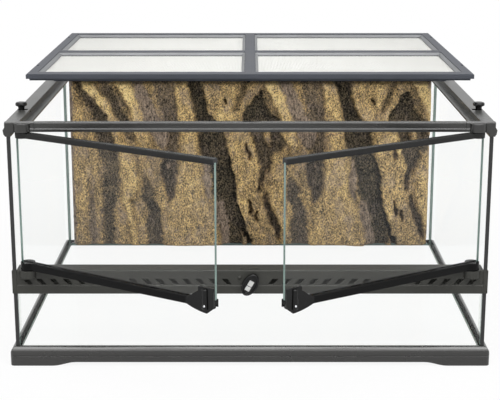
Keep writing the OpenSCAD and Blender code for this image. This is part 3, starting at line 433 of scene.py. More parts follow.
# %% Strokes of the part that repeats
REPEATED_STROKES = [
    # sandy flank and dark cave above the bar, then the ridge that opens the repeat
    (0.60, 0, 8, [(240, 299, 34, 0.58), (246, 262, 28, 0.58), (246, 240, 24, 0.62)]),
    (0.80, 0, 4, [(263, 299, 5, 0.70), (259, 262, 5, 0.70), (240, 240, 9, 0.74)]),
    (0.20, 0, 4, [(284, 299, 4, 0.28), (276, 276, 4, 0.30), (266, 250, 4, 0.34)]),
    (0.15, 0, 2, [(248, 268, 1.5, 0.20), (251, 262, 2, 0.20)]),
    (0.05, 0, 3, [(306, 275, 5, 0.07), (304, 262, 13, 0.12), (302, 238, 27, 0.12)]),
    (0.45, 0, 5, [(78, 299, 4, 0.34), (82, 270, 7, 0.36), (90, 248, 7, 0.34)]),
    (0.95, 0, 3.5, [(84, 299, 9, 0.95), (94, 280, 10, 0.97), (105, 260, 10, 0.93), (111, 241, 9.5, 0.82),
                    (115, 219, 12, 0.66), (120, 200, 10, 0.62), (127, 182, 8, 0.54)]),
    # purple flank, brown flank and the dark wedge that widens below them
    (0.40, 0.4, 7, [(150, 299, 16, 0.34), (157, 270, 16, 0.32), (161, 243, 15, 0.22), (164, 215, 9, 0.22)]),
    (0.55, 1, 6, [(107, 299, 8, 0.40), (120, 270, 10, 0.40), (130, 243, 11, 0.38), (141, 219, 13, 0.38),
                  (150, 198, 13, 0.34)]),
    (0.45, 0.3, 6, [(135, 178, 9, 0.48), (139, 160, 8, 0.50), (130, 145, 6, 0.48)]),
    (0.10, 0.5, 7, [(168, 215, 5, 0.22), (164, 190, 8, 0.20), (160, 165, 12, 0.16), (157, 147, 14, 0.15),
                    (156, 126, 13, 0.15), (161, 105, 8, 0.14), (162, 93, 4, 0.12)]),
    (0.20, 0.3, 6, [(120, 130, 6, 0.22), (125, 116, 9, 0.20), (122, 104, 7, 0.16), (134, 83, 9, 0.14),
                    (133, 58, 12, 0.15), (135, 22, 13, 0.17)]),
    (0.75, 0, 5, [(139, 146, 5, 0.42), (146, 112, 8, 0.52), (149, 95, 8, 0.64)]),
    # painted shadows in two small cracks
    (0.00, 0, 1, [(157, 88, 1, 0.02), (161, 91, 1.2, 0.02)]),
    (0.00, 0, 1, [(146, 158, 1, 0.02), (152, 161, 1.4, 0.02), (157, 164, 0.8, 0.05)]),
    # a small painted highlight speck just under that crack
    (0.90, 1, 2, [(156, 157, 2.5, 0.66), (158, 154, 2, 0.6)]),
    # the long ridge that spreads into a broad foot
    (0.92, 0, 4, [(177, 299, 10, 0.66), (183, 270, 12, 0.66), (187, 241, 14, 0.64), (190, 219, 13, 0.62),
                  (191, 186, 14, 0.64), (194, 167, 17, 0.68), (193, 136, 20, 0.64), (193, 105, 24, 0.60),
                  (191, 79, 36, 0.56), (195, 54, 44, 0.56), (196, 22, 46, 0.54)]),
    (0.80, 0, 6, [(199, 165, 5, 0.74), (201, 130, 5, 0.68)]),
    (0.50, 1, 4, [(221, 161, 6, 0.42), (219, 136, 5, 0.42), (222, 105, 4, 0.36)]),
    # the deep hollow with its crack
    (0.03, 0, 3.5, [(199, 299, 12, 0.11), (207, 270, 10, 0.11), (213, 241, 10, 0.10), (222, 219, 18, 0.11),
                    (227, 202, 21, 0.12), (231, 182, 20, 0.12), (240, 161, 17, 0.11), (245, 136, 17, 0.11),
                    (246, 116, 18, 0.11), (250, 95, 15, 0.11), (259, 74, 13, 0.10), (264, 54, 14, 0.10),
                    (270, 22, 16, 0.11)]),
    (0.25, 1, 5, [(238, 90, 8, 0.34), (241, 70, 9, 0.36), (248, 50, 6, 0.34), (249, 22, 7, 0.32)]),
    (0.65, 0, 3, [(270, 214, 17, 0.60), (272, 200, 20, 0.62)]),
    # the ridge behind the crack, with its dark slots
    (0.85, 0, 3, [(273, 200, 21, 0.62), (278, 168, 24, 0.62), (283, 136, 21, 0.58), (283, 110, 20, 0.56),
                  (290, 84, 20, 0.54), (300, 60, 24, 0.46), (306, 22, 30, 0.40)]),
    (0.95, 0, 4, [(295, 190, 4, 0.74), (299, 170, 4, 0.74), (302, 150, 3, 0.70)]),
    (0.95, 0, 4, [(276, 104, 5, 0.68), (279, 86, 7, 0.74), (281, 70, 5, 0.66)]),
    (0.30, 0.4, 2, [(281, 194, 1.5, 0.30), (285, 180, 2.5, 0.26), (288, 168, 2, 0.34)]),
    (0.20, 0, 1.5, [(286, 100, 1.2, 0.24), (291, 84, 2.5, 0.22), (290, 76, 2, 0.26)]),
    (0.25, 0, 1.5, [(299, 80, 2, 0.26), (298, 66, 2, 0.30)]),
    # painted shade in two small holes
    (0.00, 0, 0.6, [(292, 195, 1.2, 0.04), (294, 194.5, 1, 0.04)]),
    # the second hollow and the ridge beyond it
    (0.08, 0.3, 4, [(297, 222, 10, 0.20), (304, 197, 8, 0.17), (309, 178, 12, 0.17), (314, 164, 10, 0.17),
                    (312, 150, 6, 0.17), (306, 131, 3, 0.17), (304, 116, 2, 0.22)]),
    (0.08, 0.2, 4, [(330, 224, 12, 0.16), (334, 197, 11, 0.17), (324, 178, 12, 0.20)]),
    (0.60, 0, 2, [(314, 218, 3, 0.56), (317, 205, 3.5, 0.56), (320, 191, 2, 0.42)]),
    (0.90, 0, 4, [(333, 178, 6, 0.56), (332, 160, 9, 0.58), (332, 140, 11, 0.62), (332, 115, 11, 0.64),
                  (335, 90, 10, 0.60), (341, 66, 9, 0.58), (346, 40, 8, 0.54)]),
    (0.10, 0.4, 2.5, [(313, 106, 2, 0.26), (315, 95, 4, 0.20), (320, 80, 5.5, 0.17), (326, 66, 6, 0.15),
                      (331, 50, 4.5, 0.15), (336, 38, 3, 0.22)]),
    (0.60, 0, 1.5, [(315, 152, 1.5, 0.60), (313, 136, 2, 0.60), (312, 118, 2, 0.58)]),
    # painted shadow in the crack along the deep hollow's right side
    (0.00, 0, 1.2, [(248, 181, 1.2, 0.04), (257, 160, 2, 0.0), (262, 136, 2.6, 0.0), (263, 107, 2.6, 0.0),
                    (268, 88, 2.4, 0.0), (275, 65, 2.8, 0.0), (281, 46, 3.2, 0.0), (287, 22, 4.5, 0.0)]),
    # painted shadow in a second crack that runs across
    (0.00, 0, 0.8, [(227, 220, 1, 0.0), (234, 216, 1.7, 0.0), (242, 212, 1.4, 0.0), (248, 216, 0.8, 0.04),
                    (256, 218, 1.6, 0.0), (269, 221, 2.4, 0.0)]),
]


def ease(edge0, edge1, value):
    t = np.clip((value - edge0) / (edge1 - edge0), 0, 1)
    return t * t * (3 - 2 * t)


def stroke_cover(x, z, points, softness, ragged=0.0):
    """How far each point lies under the stroke, from 0 to 1, and the tone there."""
    cover = np.zeros(x.shape)
    tone = np.zeros(x.shape)
    for (x0, z0, half0, tone0), (x1, z1, half1, tone1) in zip(points, points[1:]):
        run, rise = x1 - x0, z1 - z0
        t = np.clip(((x - x0) * run + (z - z0) * rise) / (run * run + rise * rise), 0, 1)
        beside = np.hypot(x - x0 - t * run, z - z0 - t * rise) - (half0 + t * (half1 - half0))
        here = ease(softness / 2, -softness / 2, beside + ragged)
        tone = np.where(here > cover, tone0 + t * (tone1 - tone0), tone)
        cover = np.maximum(cover, here)
    return cover, tone


print("strokes on the rock:", len(LEFT_STROKES) + len(REPEATED_STROKES))

# %% [markdown]
# ## The rock relief: height, tone and dusk
# Noises push the strokes about, so that no edge is a smooth curve, and leaning ones break the
# flanks into ledges and mottle the stone. Besides its height each point keeps a tone, from the
# near black of the painted shadow in the cracks to bright ochre on the ridges, and a dusk, where
# the painter sprayed a cold purple and where the rounded left edge is painted in shade. The
# relief follows the strokes with softer edges than the paint does.

# %% The fields at every point
# name: (effect, scale per mm, seed, octaves, lean, squeeze); the first four push in mm
ROCK_WAVES = {
    "sway": (2.2, 0.05, 3.1, 2, 0, 1), "shiver": (2.6, 0.16, 8.4, 4, 0, 1),
    "sag": (3.0, 0.05, 5.7, 2, 0, 1), "jolt": (3.0, 0.14, 7.2, 3, 0, 1),
    "crumbs": (0.6, 0.3, 2.9, 3, 0, 1), "ledges": (0.10, 0.07, 1.9, 5, 0.35, 0.4),
    "lumps": (0.05, 0.16, 6.6, 3, 0, 1), "pebbles": (0.035, 0.42, 2.2, 2, 0.5, 0.6),
    "stains": (0.06, 0.03, 9.3, 3, 0, 1), "mottle": (0.13, 0.15, 4.1, 4, 0.3, 0.6),
    "foot": (1, 0.012, 4.4, 3, 0, 1),
}
# how fast the octaves fade, and how much finer each one is
WAVE_FADE, WAVE_STEP = 0.9, 2.1
# where no stroke lies
PLAIN_HEIGHT, PLAIN_TONE = 0.50, 0.52
SLOPE_SOFTNESS = 1.8
# how much ledges and mottle still show where the tone is lowest, as in the painted crack shadows
LEDGE_AT_DARKEST, MOTTLE_AT_DARKEST = 0.2, 0.15
TILES = [(0, LEFT_STROKES)] + [(k * ROCK_REPEAT, REPEATED_STROKES) for k in range(3)]


def rock_wave(name, x, z):
    effect, scale, seed, octaves, lean, squeeze = ROCK_WAVES[name]
    spots = zip((x + lean * z) * scale, z * squeeze * scale)
    return effect * np.array([noise.fractal(Vector((a, b, seed)), WAVE_FADE, WAVE_STEP, octaves)
                              for a, b in spots])


def rock_fields(x, z):
    across = x + rock_wave("sway", x, z) + rock_wave("shiver", x, z)
    up = z + rock_wave("sag", x, z) + rock_wave("jolt", x, z)
    crumbs = rock_wave("crumbs", x, z)
    ledges = rock_wave("ledges", x, z)
    height = np.full(x.shape, PLAIN_HEIGHT)
    tone = np.full(x.shape, PLAIN_TONE)
    dusk = np.zeros(x.shape)
    for shift, strokes in TILES:
        for rise, cold, softness, points in strokes:
            reach = max(half for _, _, half, _ in points) + 2 * softness
            low_x = min(point[0] for point in points) - reach
            high_x = max(point[0] for point in points) + reach
            near = np.flatnonzero((across - shift > low_x) & (across - shift < high_x))
            u, v = across[near] - shift, up[near]
            cover, shade = stroke_cover(u, v, points, softness, softness * crumbs[near])
            slope, _ = stroke_cover(u, v, points, softness * SLOPE_SOFTNESS)
            tone[near] += cover * (shade - tone[near])
            dusk[near] += cover * (cold - dusk[near])
            height[near] += slope * (rise - height[near])
    height += ledges + rock_wave("lumps", x, z) + rock_wave("pebbles", x, z)
    tone += ledges * (LEDGE_AT_DARKEST + tone) + rock_wave("stains", x, z)
    tone += rock_wave("mottle", x, z) * (MOTTLE_AT_DARKEST + tone)
    return np.clip(height, 0, 1), np.clip(tone, 0, 1), np.clip(dusk, 0, 1)


print("noises in the rock:", ", ".join(ROCK_WAVES))

# %% [markdown]
# ## The rock relief: the mesh
# A fine grid stands up to face the front, each point moves forward by its height, and the
# border is drawn back and closed, which gives a solid panel. Tone and dusk are stored as
# attributes on the points, so the paint follows the carving exactly. The foot was cut by
# hand and waves a little. The flat rear face gets a finish of its own.

# %% Build the relief
ROCK_STEP = 1.35 * MM
ROCK_RIM = 5 * MM
ROCK_SIDE_GAP = 4 * MM
ROCK_FOOT_WAVE = 2.2 * MM
# shares of the panel's depth: the plain back, the relief on it, and what is left at the rim
BACK_SHARE, RELIEF_SHARE, RIM_SHARE = 0.36, 0.62, 0.45
REAR_FACE = 1


def build_rock():
    low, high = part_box("rock_background")
    left, right = low.x + ROCK_SIDE_GAP, high.x - ROCK_SIDE_GAP
    wide, tall, deep = right - left, high.z - low.z, high.y - low.y
    bm = bmesh.new()
    stand = (Matrix.Translation((0, high.y, (low.z + high.z) / 2)) @ Matrix.Rotation(math.pi / 2, 4, "X")
             @ Matrix.Diagonal((wide, tall, 1, 1)))
    bmesh.ops.create_grid(bm, x_segments=round(wide / ROCK_STEP), y_segments=round(tall / ROCK_STEP),
                          size=0.5, matrix=stand)
    x = np.array([v.co.x for v in bm.verts])
    z = np.array([v.co.z for v in bm.verts])
    height, tone, dusk = rock_fields((x - left) / MM, z / MM)
    rim = np.minimum(np.minimum(x - left, right - x), np.minimum(z - low.z, high.z - z))
    fade = RIM_SHARE + (1 - RIM_SHARE) * np.clip(rim / ROCK_RIM, 0, 1) ** 0.5
    forward = deep * (BACK_SHARE + RELIEF_SHARE * height) * fade
    lift = ROCK_FOOT_WAVE * (1 + rock_wave("foot", x / MM, 0 * x)) * ease(high.z, low.z, z)
    tone_layer = bm.verts.layers.float.new("tone")
    dusk_layer = bm.verts.layers.float.new("dusk")
    for index, vert in enumerate(bm.verts):
        vert.co.y = high.y - forward[index]
        vert.co.z += max(lift[index], 0)
        vert[tone_layer] = tone[index]
        vert[dusk_layer] = dusk[index]
    border = [edge for edge in bm.edges if edge.is_boundary]
    for vert in verts_of(bmesh.ops.extrude_edge_only(bm, edges=border)["geom"]):
        vert.co.y = high.y
    rear = [edge for edge in bm.edges if edge.is_boundary]
    for face in bmesh.ops.triangle_fill(bm, edges=rear, use_beauty=False)["geom"]:
        if isinstance(face, bmesh.types.BMFace):
            face.material_index = REAR_FACE
    return bm


rock_mesh = build_rock()
print("points on the rock:", len(rock_mesh.verts))

# %% [markdown]
# ## The rock paint
# The tone runs through a ramp from the near black of the painted crack shadows over sandstone
# to ochre. Sand grains break it up: they are lighter or darker flecks that lean like the ridges,
# strongest on the bright stone.
# Dark pits and broad streaks follow the tone in the same way. Where the dusk lies, and in
# scattered grey patches, a cold ramp with fine fibres takes over. The bump comes from the
# same sand with a coarser crust under it. The back of the panel is bare grey foam.

# %% The rock material
# the first stop is the near black of the painted shadow in cracks and holes
ROCK_TONES = [(0.0, (26, 24, 20)), (0.11, (69, 65, 55)), (0.34, (131, 115, 90)), (0.6, (186, 158, 112)),
              (0.84, (232, 198, 136)), (1.0, (252, 226, 162))]
COLD_TONES = [(0.0, (50, 46, 44)), (0.8, (198, 177, 158))]
# name: (scale, lean in degrees, squeeze, detail)
ROCK_GRAINS = {"sand": (480, 32, 0.75, 3), "fibre": (420, -40, 0.2, 2), "pits": (620, 10, 0.8, 1),
               "streaks": (105, 28, 0.4, 5), "grey": (60, -20, 0.6, 4), "crust": (190, 30, 0.55, 4)}
GRAIN_ROUGHNESS = 0.65
# how strongly each effect colours the stone, and the noise level at which pits and grey begin
SAND_BY_TONE, SAND_EVERYWHERE = 2.9, 1.0
PIT_LEVEL, PITS_BY_TONE = 0.56, 3.2
STREAKS_BY_TONE = 1.5
GREY_LEVEL, GREY_GAIN = 0.48, 2.6
DUSK_GAIN, MOST_COLD = 0.85, 0.9
COLD_SAND = 1.4
ROCK_BUMP, ROCK_BUMP_DEPTH, CRUST_GAIN = 0.7, 0.8 * MM, 3.5
MIX_FACTOR, MIX_A, MIX_B, MIX_RESULT = 0, 6, 7, 2


def grains(tree, name):
    scale, lean, squeeze, detail = ROCK_GRAINS[name]
    place = tree.nodes.new("ShaderNodeTexCoord")
    turned = tree.nodes.new("ShaderNodeMapping")
    turned.inputs["Rotation"].default_value = (0, math.radians(lean), 0)
    turned.inputs["Scale"].default_value = (1, 1, squeeze)
    texture = tree.nodes.new("ShaderNodeTexNoise")
    texture.inputs["Scale"].default_value = scale
    texture.inputs["Detail"].default_value = detail
    texture.inputs["Roughness"].default_value = GRAIN_ROUGHNESS
    tree.links.new(place.outputs["Object"], turned.inputs["Vector"])
    tree.links.new(turned.outputs["Vector"], texture.inputs["Vector"])
    return texture.outputs["Fac"]


def above(tree, name, level):
    over = math_node(tree, "SUBTRACT", grains(tree, name), level)
    return math_node(tree, "MAXIMUM", over, 0.0)


def attribute(tree, name):
    reader = tree.nodes.new("ShaderNodeAttribute")
    reader.attribute_name = name
    return reader.outputs["Fac"]


def ramp_stops(tones):
    return [(position, screen_colour(*colour)) for position, colour in tones]


def rock_colour(tree):
    def calc(operation, *values):
        return math_node(tree, operation, *values)

    tone, dusk = attribute(tree, "tone"), attribute(tree, "dusk")
    sand, fibre, streaks = (calc("SUBTRACT", grains(tree, name), 0.5)
                            for name in ("sand", "fibre", "streaks"))
    warm = calc("MULTIPLY", sand, calc("MULTIPLY_ADD", tone, SAND_BY_TONE, SAND_EVERYWHERE))
    pits = calc("MULTIPLY", above(tree, "pits", PIT_LEVEL), calc("MULTIPLY", tone, PITS_BY_TONE))
    warm = calc("SUBTRACT", warm, pits)
    warm = calc("MULTIPLY_ADD", streaks, calc("MULTIPLY", tone, STREAKS_BY_TONE), warm)
    stone = colour_ramp(tree, ramp_stops(ROCK_TONES), calc("ADD", tone, warm))
    cool = calc("MULTIPLY", calc("ADD", sand, fibre), COLD_SAND)
    cold = colour_ramp(tree, ramp_stops(COLD_TONES), calc("ADD", tone, cool))
    grey = calc("MULTIPLY", above(tree, "grey", GREY_LEVEL), GREY_GAIN)
    chill = calc("ADD", calc("MULTIPLY", dusk, DUSK_GAIN), grey)
    mix = tree.nodes.new("ShaderNodeMix")
    mix.data_type = "RGBA"
    tree.links.new(calc("MINIMUM", chill, MOST_COLD), mix.inputs[MIX_FACTOR])
    tree.links.new(stone, mix.inputs[MIX_A])
    tree.links.new(cold, mix.inputs[MIX_B])
    return mix.outputs[MIX_RESULT]


def rock_paint():
    material, shader, tree = new_material("Rock paint")
    shader.inputs["Specular IOR Level"].default_value = 0.15
    shader.inputs["Roughness"].default_value = 0.85
    tree.links.new(rock_colour(tree), shader.inputs["Base Color"])
    bumps = tree.nodes.new("ShaderNodeBump")
    bumps.inputs["Strength"].default_value = ROCK_BUMP
    bumps.inputs["Distance"].default_value = ROCK_BUMP_DEPTH
    surface = math_node(tree, "MULTIPLY_ADD", grains(tree, "crust"), CRUST_GAIN, grains(tree, "sand"))
    tree.links.new(surface, bumps.inputs["Height"])
    tree.links.new(bumps.outputs["Normal"], shader.inputs["Normal"])
    return material


foam_back = plastic("Foam back", screen_colour(92, 88, 80), rough=0.8, bump=0.6, grain=420, gloss=0.1)
make_piece("rock_relief", rock_mesh, [rock_paint(), foam_back], "tank", ["rock_background"], 80)

# %% [markdown]
# ## The lid's woven mesh
# The windows of the lid hold a fine steel mesh. It could be one plate with a see-through
# pattern, but real wires give the right look from every side: nearly solid at a low angle
# and open from above. Two layers of straight six-sided wires are light enough.

# %% Weave the mesh
MESH_PITCH = 2.0 * MM
WIRE_D = 0.46 * MM
# heights of the two layers above the panel's underside
LOWER_LAYER, UPPER_LAYER = 0.55 * WIRE_D, 1.62 * WIRE_D


def wire(bm, middle, along, length):
    turn = Matrix.Rotation(math.pi / 2, 4, "Y" if along == "X" else "X")
    bmesh.ops.create_cone(bm, cap_ends=True, segments=6, radius1=WIRE_D / 2, radius2=WIRE_D / 2,
                          depth=length, matrix=Matrix.Translation(middle) @ turn)


def weave(node):
    low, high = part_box(node)
    middle = centre_of(node)
    size = high - low
    bm = bmesh.new()
    for k in range(1, int(size.y / MESH_PITCH)):
        wire(bm, Vector((middle.x, low.y + k * MESH_PITCH, low.z + LOWER_LAYER)), "X", size.x)
    for k in range(1, int(size.x / MESH_PITCH)):
        wire(bm, Vector((low.x + k * MESH_PITCH, middle.y, low.z + UPPER_LAYER)), "Y", size.y)
    make_piece(node.replace("mesh", "weave"), bm, [reflection_painted_wire], "lid", [node], 70)


for row in ROWS:
    for side in SIDES:
        weave(f"lid_mesh_{row}_{side}")

# %% [markdown]
# ## The lock knob
# The knob is an oval button with a raised rim round a shallow hollow, moulded in glossy
# black. A capped circle is scaled to the oval, extruded, and its front inset and pushed in;
# a bevel rounds all rims. It leans as the lock leans at rest.

# %% Mould the knob
KNOB = {"length": 30 * MM, "width": 19 * MM, "thick": 7 * MM, "rim": 2.4 * MM, "hollow": 2.6 * MM,
        "taper": 0.94, "round": 0.75 * MM}
LOCK_LEAN = math.radians(30)
SHARP = math.radians(50)


def build_knob():
    bm = bmesh.new()
    bmesh.ops.create_circle(bm, cap_ends=True, segments=64, radius=0.5,
                            matrix=Matrix.Diagonal((KNOB["width"], KNOB["length"], 1, 1)))
    front = bmesh.ops.extrude_face_region(bm, geom=bm.faces[:])["geom"]
    bmesh.ops.translate(bm, vec=(0, 0, KNOB["thick"]), verts=verts_of(front))
    top = max(bm.faces, key=lambda f: f.calc_center_median().z)
    bmesh.ops.inset_region(bm, faces=[top], thickness=KNOB["rim"], use_even_offset=True)
    floor_verts = verts_of(bmesh.ops.extrude_face_region(bm, geom=[top])["geom"])
    bmesh.ops.delete(bm, geom=[top], context="FACES")
    bmesh.ops.translate(bm, vec=(0, 0, -KNOB["hollow"]), verts=floor_verts)
    bmesh.ops.scale(bm, vec=(KNOB["taper"], KNOB["taper"], 1), verts=floor_verts)
    bmesh.ops.recalc_face_normals(bm, faces=bm.faces)
    rims = [e for e in bm.edges if len(e.link_faces) == 2 and e.calc_face_angle() > SHARP]
    round_edges(bm, rims, KNOB["round"], segments=4)
    middle, back = centre_of("lock_knob"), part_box("lock_knob")[1].y
    place = (Matrix.Translation((middle.x, back, middle.z)) @ Matrix.Rotation(LOCK_LEAN, 4, "Y")
             @ Matrix.Rotation(math.pi / 2, 4, "X"))
    bmesh.ops.transform(bm, matrix=place, verts=bm.verts)
    return bm


make_piece("knob_body", build_knob(), [handle_plastic], "lock", ["lock_knob"])

# %% [markdown]
# ## The door handles
# Each door's free lower corner carries a leaf-shaped pull: a thin plate that sweeps down to
# a tip below the rail, with a thick upright rib near its end and a small steel pin in the
# rib. The outline is drawn from curves on the closed door, extruded, dished a little and
# rounded. Two pads join it to the rail and the corner cap, and then it swings with the door.

# %% Shape the handles
DOOR_OPEN = math.radians(30)
HINGE_X = 281 * MM
DOOR_FOOT = 127.8 * MM
PLATE = {"end": 280.2 * MM, "wide": 38 * MM, "back": 5.0 * MM, "thick": 2.4 * MM,
         "rim": 2.2 * MM, "dish": 0.7 * MM, "round": 0.5 * MM}
# the outline in mm, across from the plate's hinge side and up from the door's foot; each
# curve is a start, a pull and an end
LOWER_EDGE = [(0, 1.5), (14, -5), (29, -6.4)]
END_EDGE = [(38, 1), (38, 24.9)]
SHOULDER = [(31, 25.5), (24.2, 25.5), (20.1, 22.4)]
FLARE = [(18.5, 21.2), (9.5, 14.5), (0, 8.8)]
RIB = {"foot": 4.0 * MM, "top": 3.3 * MM, "tall": 25 * MM, "in": 12 * MM, "up": 10.5 * MM,
       "sunk": 0.3 * MM, "flat": 0.72, "round": 2.0 * MM}
PIN_RADIUS = 1.5 * MM
PIN_FROM_RIB = Vector((0.8, -2.2, -7.6)) * MM
# pads behind the plate, as two corners each, in mm from the foot of the plate's end
PADS = [((-32, -5.0, 1.5), (-4.5, -4.6, 7.9)), ((-22, -5.0, 9.7), (-1, -2.05, 24.5))]
STEEL_PART = 1
CORNER = math.radians(40)


def bend(points, steps):
    a, b, c = (Vector(point) for point in points)
    shares = (step / steps for step in range(steps + 1))
    return [(1 - t) ** 2 * a + 2 * t * (1 - t) * b + t * t * c for t in shares]


def handle_outline():
    corner = Vector((PLATE["end"] - PLATE["wide"], DOOR_FOOT))
    end = [Vector(point) for point in END_EDGE]
    points = bend(LOWER_EDGE, 8) + end + bend(SHOULDER, 6) + bend(FLARE, 6)
    return [corner + point * MM for point in points]


def swing(side):
    joint = next(j for j in frame["joints"] if j["name"] == f"door_{side}_swing")
    mirror = Matrix.Diagonal((1 if side == "left" else -1, 1, 1, 1))
    hinge = Vector((-HINGE_X, joint["pos_m"][1], 0))
    return mirror @ Matrix.Translation(hinge) @ Matrix.Rotation(-DOOR_OPEN, 4, "Z")


def add_plate(bm):
    outline = [bm.verts.new((p.x, -PLATE["back"], p.y)) for p in handle_outline()]
    plate = bmesh.ops.contextual_create(bm, geom=outline)["faces"]
    grown = bmesh.ops.extrude_face_region(bm, geom=plate)["geom"]
    bmesh.ops.translate(bm, vec=(0, -PLATE["thick"], 0), verts=verts_of(grown))
    bmesh.ops.recalc_face_normals(bm, faces=bm.faces)
    face = min(bm.faces, key=lambda f: f.calc_center_median().y)
    bmesh.ops.inset_region(bm, faces=[face], thickness=PLATE["rim"], depth=-PLATE["dish"],
                           use_even_offset=True)
    edges = [e for e in bm.edges if e.calc_face_angle(0) > CORNER]
    round_edges(bm, edges, PLATE["round"], segments=3)


def add_rib_and_pin(bm):
    front = -PLATE["back"] - PLATE["thick"]
    rib_at = Vector((PLATE["end"] - RIB["in"], front + RIB["sunk"], DOOR_FOOT + RIB["up"]))
    rib = bmesh.ops.create_cone(bm, cap_ends=True, segments=32, radius1=RIB["foot"], radius2=RIB["top"],
                                depth=RIB["tall"],
                                matrix=Matrix.Translation(rib_at) @ Matrix.Diagonal((1, RIB["flat"], 1, 1)))
    edges = {edge for vert in rib["verts"] for edge in vert.link_edges}
    round_edges(bm, [e for e in edges if e.calc_face_angle(0) > SHARP], RIB["round"], segments=5)
    pin = bmesh.ops.create_uvsphere(bm, u_segments=16, v_segments=8, radius=PIN_RADIUS,
                                    matrix=Matrix.Translation(rib_at + PIN_FROM_RIB))
    for face in {face for vert in pin["verts"] for face in vert.link_faces}:
        face.material_index = STEEL_PART


def build_handle(side):
    bm = bmesh.new()
    add_plate(bm)
    add_rib_and_pin(bm)
    foot = Vector((PLATE["end"], 0, DOOR_FOOT))
    for low, high in PADS:
        block(bm, foot + Vector(low) * MM, foot + Vector(high) * MM)
    bmesh.ops.transform(bm, matrix=swing(side), verts=bm.verts)
    return bm


for side in SIDES:
    make_piece(f"handle_{side}", build_handle(side), [handle_plastic, turned_steel], f"door_{side}",
               [f"door_handle_{side}"])

# %% [markdown]
# ## The lid latches
# Four mushroom buttons slide in the side rims and hold the lid down. A button is a turned
# shape, so its outline is spun round its axis; the flange that keeps it in its track and the
# tooth that reaches over the lid are plain blocks under it.

# %% Turn the latches
# (radius, height) in mm, from the axis at the foot to the axis at the top
LATCH_OUTLINE = [(0, 0), (4.1, 0), (4.1, 6.4), (4.6, 7.8), (6.4, 8.6), (7.2, 9.1), (7.5, 9.9), (7.5, 11.4),
                 (7.2, 12.4), (6.4, 13.1), (5.0, 13.5), (2.6, 13.6), (0, 13.6)]
BUTTON_RADIUS = 7.5 * MM
# half sizes along the slide and across it, and the thickness
FLANGE = (4.1 * MM, 6 * MM, 1.7 * MM)
TOOTH_HALF = 3.5 * MM
TOOTH_INSET = 0.05 * MM


def build_latch(node, inward):
    low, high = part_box(node)
    axis_x = low.x + BUTTON_RADIUS if inward > 0 else high.x - BUTTON_RADIUS
    bm = bmesh.new()
    chain = [bm.verts.new((r * MM, 0, z * MM)) for r, z in LATCH_OUTLINE]
    edges = [bm.edges.new(pair) for pair in zip(chain, chain[1:])]
    bmesh.ops.spin(bm, geom=chain + edges, cent=(0, 0, 0), axis=(0, 0, 1), dvec=(0, 0, 0),
                   angle=2 * math.pi, steps=40, use_merge=True)
    bmesh.ops.remove_doubles(bm, verts=bm.verts, dist=WELD)
    along, across, thick = FLANGE
    block(bm, (-along, -across, 0), (along, across, thick))
    reach = inward * ((high.x - low.x) - BUTTON_RADIUS)
    block(bm, (min(reach, 0), -TOOTH_HALF, TOOTH_INSET), (max(reach, 0), TOOTH_HALF, thick - TOOTH_INSET))
    bmesh.ops.translate(bm, vec=(axis_x, (low.y + high.y) / 2, low.z), verts=bm.verts)
    return bm


for row in ROWS:
    for side, inward in zip(SIDES, (1, -1)):
        node = f"lid_latch_{row}_{side}"
        make_piece(f"button_{row}_{side}", build_latch(node, inward), [handle_plastic], node, [node])

# %% [markdown]
# ## Floor and backdrop
# The studio is a white floor that fades into a white surround. The floor keeps a soft
# shadow near the tank, and a mask on its own coordinates blends it into pure white further
# out, so that no horizon shows. A share of plain white for camera, glossy and transmission
# rays keeps it pale behind glass without brighter lamps.

# %% Studio floor
FLOOR_RADIUS = 9
SHADOW_REACH = (0.35, 0.9)


def is_seen(tree):
    path = tree.nodes.new("ShaderNodeLightPath")
    seen = path.outputs["Is Camera Ray"]
    for other in ("Is Glossy Ray", "Is Transmission Ray"):
        seen = math_node(tree, "MAXIMUM", seen, path.outputs[other])
    return seen


def studio_white(name, shadow, clean):
    """White that keeps a share of shadow near the tank and is clean further out."""
    material, shader, tree = new_material(name)
    shader.inputs["Base Color"].default_value = (0.9, 0.9, 0.9, 1)
    shader.inputs["Roughness"].default_value = 0.9
    shader.inputs["Specular IOR Level"].default_value = 0.0
    glow = tree.nodes.new("ShaderNodeEmission")
    place = tree.nodes.new("ShaderNodeTexCoord")
    distance = tree.nodes.new("ShaderNodeVectorMath")
    distance.operation = "LENGTH"
    tree.links.new(place.outputs["Object"], distance.inputs[0])
    fade = tree.nodes.new("ShaderNodeMapRange")
    fade.interpolation_type = "SMOOTHSTEP"
    fade.inputs["From Min"].default_value = SHADOW_REACH[0]
    fade.inputs["From Max"].default_value = SHADOW_REACH[1]
    fade.inputs["To Min"].default_value = 1 - shadow
    fade.inputs["To Max"].default_value = clean
    tree.links.new(distance.outputs["Value"], fade.inputs["Value"])
    share = math_node(tree, "MULTIPLY", fade.outputs["Result"], is_seen(tree))
    mix_to_output(tree, share, shader.outputs["BSDF"], glow.outputs["Emission"])
    return material


def stage_piece(name, bm, material):
    mesh_object(name, bm, [material])
    print("stage:", name)


disc = bmesh.new()
bmesh.ops.create_circle(disc, cap_ends=True, segments=64, radius=FLOOR_RADIUS)
stage_piece("studio_floor", disc, studio_white("Studio white", shadow=0.09, clean=1.0))

# %% [markdown]
# ## A white card under the floor pane
# Through a clear floor one sees the dark inside of the base frame. In the studio a sheet of
# white card goes under the pane, which keeps the inside of the tank clean and bright. It is
# part of the stage and not of the tank. It lies a hair inside the pane's underside, so that
# the two surfaces don't fight.

# %% The card
CARD_LIFT = 0.02 * MM
card_low, card_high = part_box("floor_glass")
card_size = Matrix.Diagonal((card_high.x - card_low.x, card_high.y - card_low.y, 1, 1))
card_place = centre_of("floor_glass")
card_place.z = card_low.z + CARD_LIFT
card = bmesh.new()
bmesh.ops.create_grid(card, x_segments=1, y_segments=1, size=0.5,
                      matrix=Matrix.Translation(card_place) @ card_size)
stage_piece("under_card", card, studio_white("Card white", shadow=0.06, clean=0.94))

